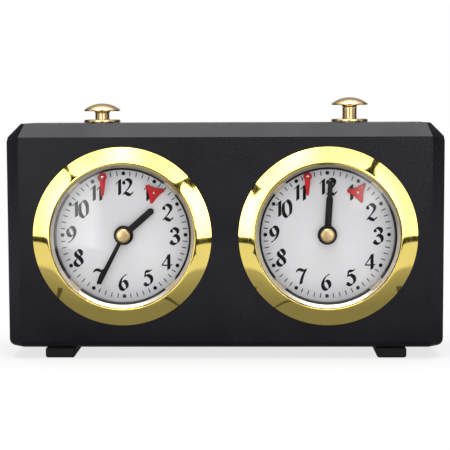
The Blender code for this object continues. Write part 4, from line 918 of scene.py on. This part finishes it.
class CLOCK_OT_flags(Operator):
    """Shapes the red flags, their pins and the three-pointed run indicators"""

    bl_idname = "clock.flags"
    bl_label = "Flags and indicators"

    indicator_angles = (314.0, 38.0)
    head_height = 0.0005
    # Steps round a flag's eye, along its tail and round its end, and round an indicator
    steps, star_steps = (40, 10, 9), 180
    # Neighbours on each side in the mean that rounds an indicator's corners
    smooth = 4

    def execute(self, context):
        size = sizes()
        bore, edge = size.pin_shank, size.part_edge
        for side, angle in zip(SIDES, self.indicator_angles):
            node = side + "_flag_pin"
            pivot = middle(node)
            pin = lathe(self.pin(*depths(node)), STEPS["rod"])
            piece(node + "_turned", [pin], pivot, "pin", "case", node)
            node = side + "_flag"
            reach = pivot[2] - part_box(node)[0].z
            outline = -pointer(reach, size.flag_waist, size.flag_tip, size.flag_eye, self.steps)
            blade = plate(outline, bore, *depths(node), edge)
            piece(node + "_blade", [blade], pivot, "signal", node, node, STAMPED)
            node, body = side + "_run_indicator", side + "_escape"
            star = plate(self.star(angle), bore, *depths(node), edge)
            place = middle(side + "_escape_wheel")
            piece(side + "_indicator_star", [star], place, "signal", body, node, STAMPED)
        return {"FINISHED"}

    def pin(self, near, far):
        """A round head on a shank."""
        shank, head, under = sizes().pin_shank, sizes().pin_head, near + self.head_height
        corners = [(0, near), (head, near), (head, under), (shank, under), (shank, far), (0, far)]
        return rounded(corners, (PLAIN, KEEN, KEEN, KEEN))

    def star(self, angle):
        """Three points between nearly straight sides, counter-clockwise.

        The reach is the waist over a power of the cosine of the heading from each side's middle. A running
        mean over neighbouring headings rounds the corners.
        """
        turn = np.linspace(0, 2 * math.pi, self.star_steps, endpoint=False)
        hollow, third = sizes().star_hollow, 2 * math.pi / 3
        from_side = np.abs(turn % third - third / 2)
        power = math.log(sizes().star_reach / hollow) / math.log(2.0)
        reach = hollow / np.cos(from_side) ** power
        steps = range(-self.smooth, self.smooth + 1)
        reach = np.mean([np.roll(reach, step) for step in steps], axis=0)
        heading = turn + math.radians(90 - angle)
        return np.column_stack([reach * np.cos(heading), reach * np.sin(heading)])


class CLOCK_OT_buttons(Operator):
    """Turns the mushroom buttons and the collars that they slide in"""

    bl_idname = "clock.buttons"
    bl_label = "Buttons"

    # The rim's foot as a share of the head's radius, the flare where the stem meets the head, the rounding of
    # the rim, and steps along the dome
    foot, flare, rim_round, dome_steps = 0.86, 0.0006, 0.00025, 18

    def execute(self, context):
        for side in SIDES:
            node = side + "_button"
            low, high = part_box(node)
            place = ((low.x + high.x) / 2, (low.y + high.y) / 2, 0.0)
            button = lathe(self.button(low, high), STEPS["button"], "Z")
            piece(node + "_turned", [button], place, "button", node, node, TURNED)
            node += "_collar"
            collar = lathe(self.collar(*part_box(node)), STEPS["button"], "Z")
            piece(side + "_collar_turned", [collar], place, "button", "case", node, TURNED)
        return {"FINISHED"}

    def button(self, low, high):
        """Part of a circle for the dome, an upright rim, a flat underside and the stem."""
        size = sizes()
        head, stem = (high.x - low.x) / 2, size.stem_radius
        under = high.z - size.button_dome
        swell = size.button_dome - size.button_rim
        ball = (head**2 + swell**2) / (2 * swell)
        turn = np.linspace(0, math.asin(head / ball), self.dome_steps)
        dome = np.column_stack([ball * np.sin(turn), high.z - ball * (1 - np.cos(turn))])
        flare = self.flare
        corners = [dome[-1], (head, under), (head * self.foot, under + FINE), (stem + flare, under + PLAIN)]
        corners += [(stem, under - flare), (stem, low.z), (0, low.z)]
        return np.concatenate([dome, rounded(corners, (self.rim_round, FINE, FINE, flare, FINE))[1:]])

    def collar(self, low, high):
        """A flat disc with an upright rim on a sleeve, bored for the stem."""
        size = sizes()
        wide, bore, sleeve = (high.x - low.x) / 2, size.collar_bore, size.collar_sleeve
        top, seat = high.z, high.z - size.collar_disc
        shoulder = top - (size.collar_disc - size.collar_rim)
        corners = [(bore, low.z), (bore, top), (wide - size.collar_slope, top), (wide, shoulder)]
        corners += [(wide, seat), (sleeve, seat), (sleeve, low.z), (bore, low.z)]
        return rounded(corners, (PLAIN, FINE, FINE, FINE, KEEN, FINE))


class CLOCK_OT_keys(Operator):
    """Makes the winding keys and the knurled setting knobs behind the case"""

    bl_idname = "clock.keys"
    bl_label = "Keys and knobs"

    # Turns at which a key's ears start and end, its foot's rounding, and its edge against half its thickness
    ear_turns, foot_round, edge = (-20, 120), 0.0012, 0.8
    # Steps round an ear, along the dip and round the wing's edge, and to one knurl
    ear_steps, dip_steps, edge_steps, knurl_steps = 15, 9, 6, 6
    # A knob's bore, its depth, its near face, its slope and its bevel
    bore, bore_depth, face, slope, bevel = 0.0012, 0.0048, 0.0031, 0.0012, 0.0006
    # Shares of a knob's radius: its dish's edge and floor, where its grooves start, and over what they deepen
    dish, dish_floor, grip_start, grip_rise = 0.6, 0.55, 0.93, 0.06

    def execute(self, context):
        for side in SIDES:
            node, body = side + "_winding_key", side + "_winding"
            low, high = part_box(node)
            parts = [self.arbor(low, high), self.wing(low, high)]
            piece(node + "_finished", parts, middle(node, 0.0), "key", body, node, STAMPED)
            node, body = side + "_set_knob", side + "_minute"
            parts = [self.knob(half_width(node), *(corner.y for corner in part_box(node)))]
            name = side + "_knob_knurled"
            piece(name, parts, middle(node, 0.0), "button", body, node, STAMPED)
        return {"FINISHED"}

    def arbor(self, low, high):
        """A round rod from the movement's front plate into the wing."""
        radius, end = (high.z - low.z) / 2, BACK + sizes().key_root
        corners = [(0, low.y), (radius, low.y), (radius, end), (0, end)]
        return lathe(rounded(corners, (PLAIN, PLAIN), steps=4), STEPS["rod"])

    def wing(self, low, high):
        """A slab with two round ears and a dip between them, its outline seen whole from its axis."""
        size = sizes()
        ear, neck, half = size.key_ear, size.key_neck / 2, size.key_thickness / 2
        right = circle(ear, self.ear_steps, ((high.x - low.x) / 2 - ear, high.y - ear), *self.ear_turns)
        left = right[::-1] * [-1, 1]
        foot, trough = BACK + size.key_gap, high.y - size.key_dip
        dip = rounded([right[-1], (0.0, trough), left[0]], (size.key_dip,), self.dip_steps)
        base = rounded([left[-1], (-neck, foot), (neck, foot), right[0]], (self.foot_round, self.foot_round))
        centre_line = (trough + foot) / 2
        outline = np.vstack([right, dip[1:-1], left, base[1:-1]]) - [0.0, centre_line]
        points, faces, uv = plate(outline, 0.0, -half, half, half * self.edge, self.edge_steps)
        return points[:, [0, 2, 1]] + [0.0, centre_line, 0.0], faces, uv

    def knob(self, wide, near, far):
        """A turned knob with a grooved rim: the radius dips by a cosine of the turn along its grip."""
        size = sizes()
        floor = near + self.bore_depth
        corners = [(0, floor), (self.bore, floor), (self.bore, near), (self.face, near)]
        corners += [(wide, near + self.slope), (wide, far - self.bevel), (wide - self.bevel, far)]
        corners += [(wide * self.dish, far), (wide * self.dish_floor, far - PLAIN), (0, far - PLAIN)]
        profile = rounded(corners, (KEEN, KEEN, PLAIN, PLAIN, PLAIN, PLAIN, FINE, FINE), steps=4)
        points, faces, uv = lathe(profile, size.knurls * self.knurl_steps)
        radius = np.hypot(points[:, 0], points[:, 2])
        turn = np.arctan2(points[:, 2], points[:, 0])
        grip = np.clip((radius - wide * self.grip_start) / (wide * self.grip_rise), 0, 1)
        dip = size.knurl_depth * (0.5 - 0.5 * np.cos(turn * size.knurls)) * grip
        points[:, [0, 2]] *= (1 - dip / np.maximum(radius, 1e-6))[:, None]
        return points, faces, uv


class CLOCK_OT_movements(Operator):
    """Finishes the two movements inside the case, with their pallet levers and springs"""

    bl_idname = "clock.movements"
    bl_label = "Movements"

    brass = (
        "front_plate", "back_plate", "barrel", "centre_wheel", "third_wheel", "fourth_wheel", "balance_wheel",
        "minute_wheel", "hour_wheel",
    )
    steel = ("centre_arbor", "escape_wheel")
    # Inner radius of each spring against its outer one, and points to a loop
    core, loop_points = {"mainspring": 0.24, "hairspring": 0.16}, 72
    # Points this near to the end of an axle lie on it
    near_end = 0.00001
    # One arm of a pallet lever from its tip to its tail, towards the escape wheel and across
    lever_arm = ((0.0023, 0.00329), (0.002024, 0.003663), (-0.0006, 0.00104), (-0.0040, 0.0004))
    # Half the angle of a lever's hollow, and its steps
    lever_arc, lever_steps = 36, 25

    def execute(self, context):
        recolour("rocker", "rocker")
        recolour("rocker_pin", "steel")
        for side in SIDES:
            for kind in self.brass:
                recolour(f"{side}_{kind}", "movement")
            for kind in self.steel:
                recolour(f"{side}_{kind}", "steel")
            self.lever(side)
            self.spring(side, "mainspring", "winding_key", side + "_barrel")
            self.spring(side, "hairspring", "balance_wheel", "case")
        return {"FINISHED"}

    def axle(self, node):
        """The depths of a solid's points along its axle, the middle of its near end, and its radius there."""
        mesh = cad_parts[node].data
        points = np.empty(len(mesh.vertices) * 3)
        mesh.vertices.foreach_get("co", points)
        points = points.reshape(-1, 3)
        levels = np.unique(np.round(points[:, 1], decimals=6))
        end = points[points[:, 1] < levels[0] + self.near_end][:, [0, 2]]
        return levels, (end.min(axis=0) + end.max(axis=0)) / 2, np.ptp(end[:, 0]) / 2

    def lever(self, side):
        """A flat anchor on a round staff.

        The anchor's inner edge is an arc round the escape wheel's axle, wide enough for the teeth when the
        lever swings, and its arms and its tail are straight.
        """
        size = sizes()
        node, body = side + "_pallet_lever", side + "_pallet"
        levels, axis, radius = self.axle(node)
        wheel = self.axle(side + "_escape_wheel")[1]
        away = np.linalg.norm(wheel - axis)
        along = (wheel - axis) / away
        turn = np.radians(np.linspace(-self.lever_arc, self.lever_arc, self.lever_steps))
        hollow = size.lever_hollow * np.column_stack([-np.cos(turn), np.sin(turn)]) + [away, 0.0]
        arm = np.array(self.lever_arm)
        outline = np.vstack([hollow, arm, arm[::-1] * [1, -1]]) @ np.array([along, (-along[1], along[0])])
        anchor = plate(outline, 0.0, levels[1], levels[2], size.part_edge / 2)
        parts = [rod(radius, levels[0], levels[-1], STEPS["staff"]), anchor]
        place = (axis[0], 0.0, axis[1])
        piece(node + "_finished", parts, place, "steel", body, node, STAMPED)

    def spring(self, side, kind, axle, body):
        """A flat strip wound as a spiral: its radius grows evenly with the turn, to its solid's outer end.

        The solid reaches furthest at that end, and next furthest a quarter turn before it.
        """
        node = f"{side}_{kind}"
        loops, strip = getattr(sizes(), kind + "_loops"), getattr(sizes(), kind + "_strip")
        low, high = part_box(node)
        place = middle(f"{side}_{axle}", 0.0)
        reaches = [high.x - place[0], high.z - place[2], place[0] - low.x, place[2] - low.z]
        end = int(np.argmax(reaches))
        sense = 1 if reaches[end - 1] > reaches[(end + 1) % 4] else -1
        outer = reaches[end] - strip / 2
        inner = outer * self.core[kind]
        wound = np.linspace(0, 1, self.loop_points * loops)
        turn = end * math.pi / 2 + sense * 2 * math.pi * loops * (wound - 1)
        reach = inner + (outer - inner) * wound
        path = np.column_stack([reach * np.cos(turn), reach * np.sin(turn)])
        coil = ribbon(path, np.full(len(path), strip / 2), np.zeros(len(path)), low.y, high.y)
        piece(node + "_coil", [coil], place, "spring", body, node)


class CLOCK_OT_stage(Operator):
    """Sets the floor, the soft light, the cards and the camera"""

    bl_idname = "clock.stage"
    bl_label = "Stage"

    floor_half = 0.5
    # Lamps: place, target, width, height and the name of the brightness
    aim = (0.0, FRONT, 0.06)
    lamps = {
        "overhead_box": ((0.0, -0.05, 1.00), (0.0, -0.02, 0.0), 0.90, 0.90, "overhead"),
        "front_top_box": ((0.0, -0.95, 0.85), aim, 1.10, 0.42, "front_box"),
        "front_left_box": ((-0.75, -0.95, 0.42), aim, 0.42, 0.62, "front_box"),
        "front_right_box": ((0.75, -0.95, 0.42), aim, 0.42, 0.62, "front_box"),
        "camera_box": ((0.0, -1.25, 0.25), aim, 0.80, 0.60, "camera_box"),
    }
    # The bright arch: its plane, middle and radii, and the place, reach and brightness of soft spots on it
    arch_plane, arch_middle, arch_radii, arch_steps = FRONT - 0.95, (-0.02, -0.05), (0.33, 1.0), 49
    spots = (
        ((-0.45, 0.15), (0.36, 0.40), 2.8),
        ((0.36, 0.16), (0.30, 0.38), 2.8),
        ((-0.14, 0.58), (0.20, 0.46), 2.8),
    )
    # Dark slits before the arch: two ends, and widths at the first end, the middle and the last
    slits = (
        ((-0.40, 0.27), (-0.64, 0.56), (0.085, 0.006, 0.085)),
        ((0.150, 0.22), (0.313, 0.373), (0.085, 0.045, 0.006)),
        ((0.335, 0.32), (0.515, 0.60), (0.100, 0.040, 0.080)),
    )
    slit_gap, slit_glow = 0.01, 0.02
    # Cards for the lenses, each step smaller, nearer to the clock and brighter than the one before: low and
    # high x, low and high z, and which way a step moves each of these edges
    haze_steps, haze_inset, haze_gap, haze_rise = 4, 0.0035, 0.004, 0.001
    haze_cards = {
        "left": ((-0.36, -0.152, -0.058, 0.18), (0, -1, 1, 0)),
        "right": ((0.118, 0.32, -0.008, 0.18), (1, 0, 1, 0)),
    }
    # Wedges on the floor: for both ends the way from the case's front and from a dial's middle, and the width
    wedge_ends, wedge_glow = ((0.026, 0.0505, 0.0005), (0.064, 0.0665, 0.006)), 0.09
    # Upright dark cards: low and high x, low and high z, depth and brightness
    dark_cards = {
        "dark_card_front": ((-2.0, 2.0, -0.8, 1.6, arch_plane - 0.15), 0.03),
        "dark_card_back": ((-1.2, 1.2, 0.35, 1.7, 1.2), 0.30),
    }
    # Dark cards beside the stage: their way out, and their ends in y and z
    side_out, side_y, side_z = 0.75, (-0.05, 1.30), (0.0, 1.1)
    # Cards on the floor: their height, then brightness and rows with their way from the case's front and ends
    on_floor = 0.0005
    floor_cards = {
        "dark_card_floor": (0.03, ((0.33, (-0.6, 0.6)), (0.475, (-0.6, 0.6)))),
        "dark_card_lenses": (0.05, ((0.22, (-0.085, 0.070)), (0.33, (-0.100, 0.085)))),
    }

    def execute(self, context):
        studio = context.scene.clock_studio
        self.floor(studio)
        self.world(studio)
        self.cards(studio)
        for name, (place, target, width, height, key) in self.lamps.items():
            lamp = self.soft_box(name, place, target, width, height, getattr(studio, key))
            lamp.visible_glossy = name == "overhead_box"
        self.camera(studio)
        context.scene.view_settings.view_transform = "Standard"
        return {"FINISHED"}

    def sheet(self, name, rows, material):
        """A surface over a grid of points."""
        rows = np.asarray(rows, float)
        mesh = bpy.data.meshes.new(name)
        faces = grid_faces(rows.shape[0], rows.shape[1], False, False)
        mesh.from_pydata(rows.reshape(-1, 3).tolist(), [], faces.tolist())
        mesh.materials.append(material)
        made = bpy.data.objects.new(name, mesh)
        bpy.context.scene.collection.objects.link(made)
        return made

    def card(self, name, rows, brightness, spots=()):
        """A card of an even brightness, with brighter soft spots on it, which only polished surfaces show."""
        glow = Look(name)
        for (x, z), (wide, high), more in spots:
            where = glow.node("TexCoord").outputs["Object"]
            reach = {"Location": (x, self.arch_plane, z), "Scale": (wide, 1.0, high)}
            where = glow.node("Mapping", {"vector_type": "TEXTURE"}, Vector=where, **reach).outputs["Vector"]
            ball = glow.node("TexGradient", {"gradient_type": "SPHERICAL"}, Vector=where).outputs["Fac"]
            brightness = glow.reckon("MULTIPLY_ADD", ball, more, brightness)
        glow.shade(Base_Color=BLACK, Specular_IOR_Level=0.0)
        glow.shade(Emission_Color=WHITE, Emission_Strength=brightness)
        made = self.sheet(name, rows, glow.material)
        for rays in ("camera", "diffuse", "shadow", "transmission"):
            setattr(made, "visible_" + rays, False)

    def upright(self, low_x, high_x, low_z, high_z, y):
        """Corners of an upright card that faces the clock."""
        return [[(x, y, z) for x in (low_x, high_x)] for z in (low_z, high_z)]

    def lying(self, rows):
        """Corners of a card on the floor before the clock."""
        return [[(x, FRONT - away, self.on_floor) for x in ends] for away, ends in rows]

    def cards(self, studio):
        """A bright arch in front with dark slits, stepped cards for the lenses, and dark cards round them."""
        y = self.arch_plane
        turn = np.radians(np.linspace(-90, 90, self.arch_steps))
        arch = np.array([self.arch_middle[0], y, self.arch_middle[1]])
        heading = np.column_stack([np.sin(turn), np.zeros(len(turn)), np.cos(turn)])
        self.card("arch", [arch + radius * heading for radius in self.arch_radii], studio.arch, self.spots)
        for number, (first, last, widths) in enumerate(self.slits, 1):
            first, last = np.array(first), np.array(last)
            along = (last - first) / np.linalg.norm(last - first)
            side = np.array([-along[1], along[0]]) / 2
            spine = [first, (first + last) / 2, last]
            corners = [[knot - side * width, knot + side * width] for knot, width in zip(spine, widths)]
            rows = [[(x, y + self.slit_gap, z) for x, z in row] for row in corners]
            self.card(f"slit_{number}", rows, self.slit_glow)
        for step in range(1, self.haze_steps + 1):
            near = y + self.haze_gap + self.haze_rise * step
            for side, (edges, ways) in self.haze_cards.items():
                edges = np.array(edges) + np.array(ways) * self.haze_inset * step
                glow = studio.haze * step / self.haze_steps
                self.card(f"haze_{side}_{step}", self.upright(*edges, near), glow)
        for side in SIDES:
            for way, word in ((-1, "low"), (1, "high")):
                x = centre(side)[0]
                starts = [(away, x + way * reach, wide) for away, reach, wide in self.wedge_ends]
                rows = self.lying([(away, (start, start + wide)) for away, start, wide in starts])
                self.card(f"floor_wedge_{side}_{word}", rows, self.wedge_glow)
        for name, (glow, rows) in self.floor_cards.items():
            self.card(name, self.lying(rows), glow)
        for name, (edges, glow) in self.dark_cards.items():
            self.card(name, self.upright(*edges), glow)
        for side, out in zip(SIDES, (-self.side_out, self.side_out)):
            rows = [[(out, along, z) for along in self.side_y] for z in self.side_z]
            self.card("dark_card_" + side, rows, studio.dark_card)

    def floor(self, studio):
        """A pale floor that keeps the shadow near the clock and goes white further off.

        Polished surfaces see painted light instead of its lit shade: a painted shadow of the clock close to
        the case's front, and painted light, brighter, further out and behind.
        """
        pale = Look("pale_floor")
        pale.shade(Base_Color=(*studio.floor, 1.0), Roughness=0.9, Specular_IOR_Level=0.0)
        where = pale.node("TexCoord").outputs["Object"]
        path = pale.node("LightPath").outputs
        away = pale.node("VectorMath", {"operation": "LENGTH"}, Vector=where).outputs["Value"]
        off = pale.spread(away, low=0.75, high=1.0, from_low=0.10, from_high=0.45)
        deep = pale.node("SeparateXYZ", Vector=where).outputs["Y"]
        # Painted shadow and light that only polished surfaces see: the floor is painted darker close to the
        # case's front, where the clock's shadow falls, and brighter further out and behind the front
        near = pale.spread(deep, low=0.44, high=0.25, from_low=FRONT - 0.10, from_high=FRONT - 0.04)
        far = pale.spread(deep, low=0.90, high=0.0, from_low=FRONT - 0.125, from_high=FRONT - 0.095)
        behind = pale.spread(deep, low=0.0, high=0.9, from_low=FRONT, from_high=FRONT + 0.06)
        painted_light_and_shadow = pale.reckon("MAXIMUM", pale.reckon("MAXIMUM", near, far), behind)
        direct = pale.reckon("MAXIMUM", path["Is Camera Ray"], path["Is Transmission Ray"])
        shown = pale.reckon("MAXIMUM", pale.reckon("MULTIPLY", off, direct), path["Is Glossy Ray"])
        white = pale.node("Mix", {"data_type": "FLOAT"})
        for value, number in ((path["Is Glossy Ray"], 0), (1.0, 2), (painted_light_and_shadow, 3)):
            pale.put(value, white.inputs[number])
        glow = pale.node("Emission", Strength=white.outputs[0])
        blend = pale.node("MixShader")
        mixed = shown, pale.shader.outputs["BSDF"], glow.outputs["Emission"]
        for value, socket in zip(mixed, blend.inputs):
            pale.put(value, socket)
        pale.put(blend.outputs[0], pale.output)
        reach = np.linspace(-self.floor_half, self.floor_half, 3)
        x, y = np.meshgrid(reach, reach, indexing="ij")
        self.sheet("floor", np.stack([x, y, np.zeros_like(x)], axis=-1), pale.material)

    def world(self, studio):
        """White behind the object and in polished metal, and a plain soft fill for everything else."""
        world = bpy.data.worlds.new("studio")
        bpy.context.scene.world = world
        world.use_nodes = True
        nodes = Nodes(world.node_tree)
        back = world.node_tree.nodes["Background"]
        path = nodes.node("LightPath").outputs
        seen = nodes.reckon("MAXIMUM", path["Is Camera Ray"], path["Is Glossy Ray"])
        either = nodes.reckon("MAXIMUM", seen, path["Is Transmission Ray"])
        nodes.put(WHITE, back.inputs["Color"])
        amount = nodes.spread(either, low=studio.fill, high=1.0, from_low=0.0, from_high=1.0)
        nodes.put(amount, back.inputs["Strength"])

    def soft_box(self, name, place, target, width, height, brightness):
        """A rectangular lamp of an even brightness that faces a target."""
        lamp = bpy.data.lights.new(name, "AREA")
        lamp.shape = "RECTANGLE"
        lamp.size, lamp.size_y = width, height
        lamp.energy = brightness * math.pi * width * height
        made = bpy.data.objects.new(name, lamp)
        made.location = place
        made.rotation_euler = (Vector(target) - Vector(place)).to_track_quat("-Z", "Y").to_euler()
        bpy.context.scene.collection.objects.link(made)
        return made

    def camera(self, studio):
        """The camera at the photograph's angle."""
        data = bpy.data.cameras.new("camera")
        data.sensor_width = 36.0
        data.lens = studio.lens
        data.clip_start = 0.01
        made = bpy.data.objects.new("camera", data)
        made.location = studio.camera
        look_along = (Vector(studio.target) - Vector(studio.camera)).to_track_quat("-Z", "Y")
        made.rotation_euler = (look_along @ Quaternion((0.0, 0.0, 1.0), studio.roll)).to_euler()
        bpy.context.scene.collection.objects.link(made)
        bpy.context.scene.camera = made


OPERATORS = (
    CLOCK_OT_case,
    CLOCK_OT_bezels,
    CLOCK_OT_dials,
    CLOCK_OT_hands,
    CLOCK_OT_flags,
    CLOCK_OT_buttons,
    CLOCK_OT_keys,
    CLOCK_OT_movements,
    CLOCK_OT_stage,
)
GROUPS = {"clock_sizes": ClockSizes, "clock_colours": ClockColours, "clock_studio": ClockStudio}


class CLOCK_PT_panel(Panel):
    """Lists the clock's pieces, sizes and colours"""

    bl_idname = "CLOCK_PT_panel"
    bl_label = "Chess Clock"
    bl_space_type = "VIEW_3D"
    bl_region_type = "UI"
    bl_category = "Clock"

    def draw(self, context):
        for operator in OPERATORS:
            self.layout.operator(operator.bl_idname)
        for name in GROUPS:
            group = getattr(context.scene, name)
            box = self.layout.box()
            for key in group.__annotations__:
                box.prop(group, key)


def register():
    for group in GROUPS.values():
        bpy.utils.register_class(group)
    for name, group in GROUPS.items():
        setattr(bpy.types.Scene, name, PointerProperty(type=group))
    for operator in OPERATORS:
        bpy.utils.register_class(operator)
    bpy.utils.register_class(CLOCK_PT_panel)


def unregister():
    bpy.utils.unregister_class(CLOCK_PT_panel)
    for operator in reversed(OPERATORS):
        bpy.utils.unregister_class(operator)
    for name in GROUPS:
        delattr(bpy.types.Scene, name)
    for group in GROUPS.values():
        bpy.utils.unregister_class(group)


def main():
    """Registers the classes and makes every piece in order."""
    register()
    for operator in OPERATORS:
        group, name = operator.bl_idname.split(".")
        getattr(getattr(bpy.ops, group), name)()
    bpy.context.view_layer.update()


if __name__ == "__main__":
    main()
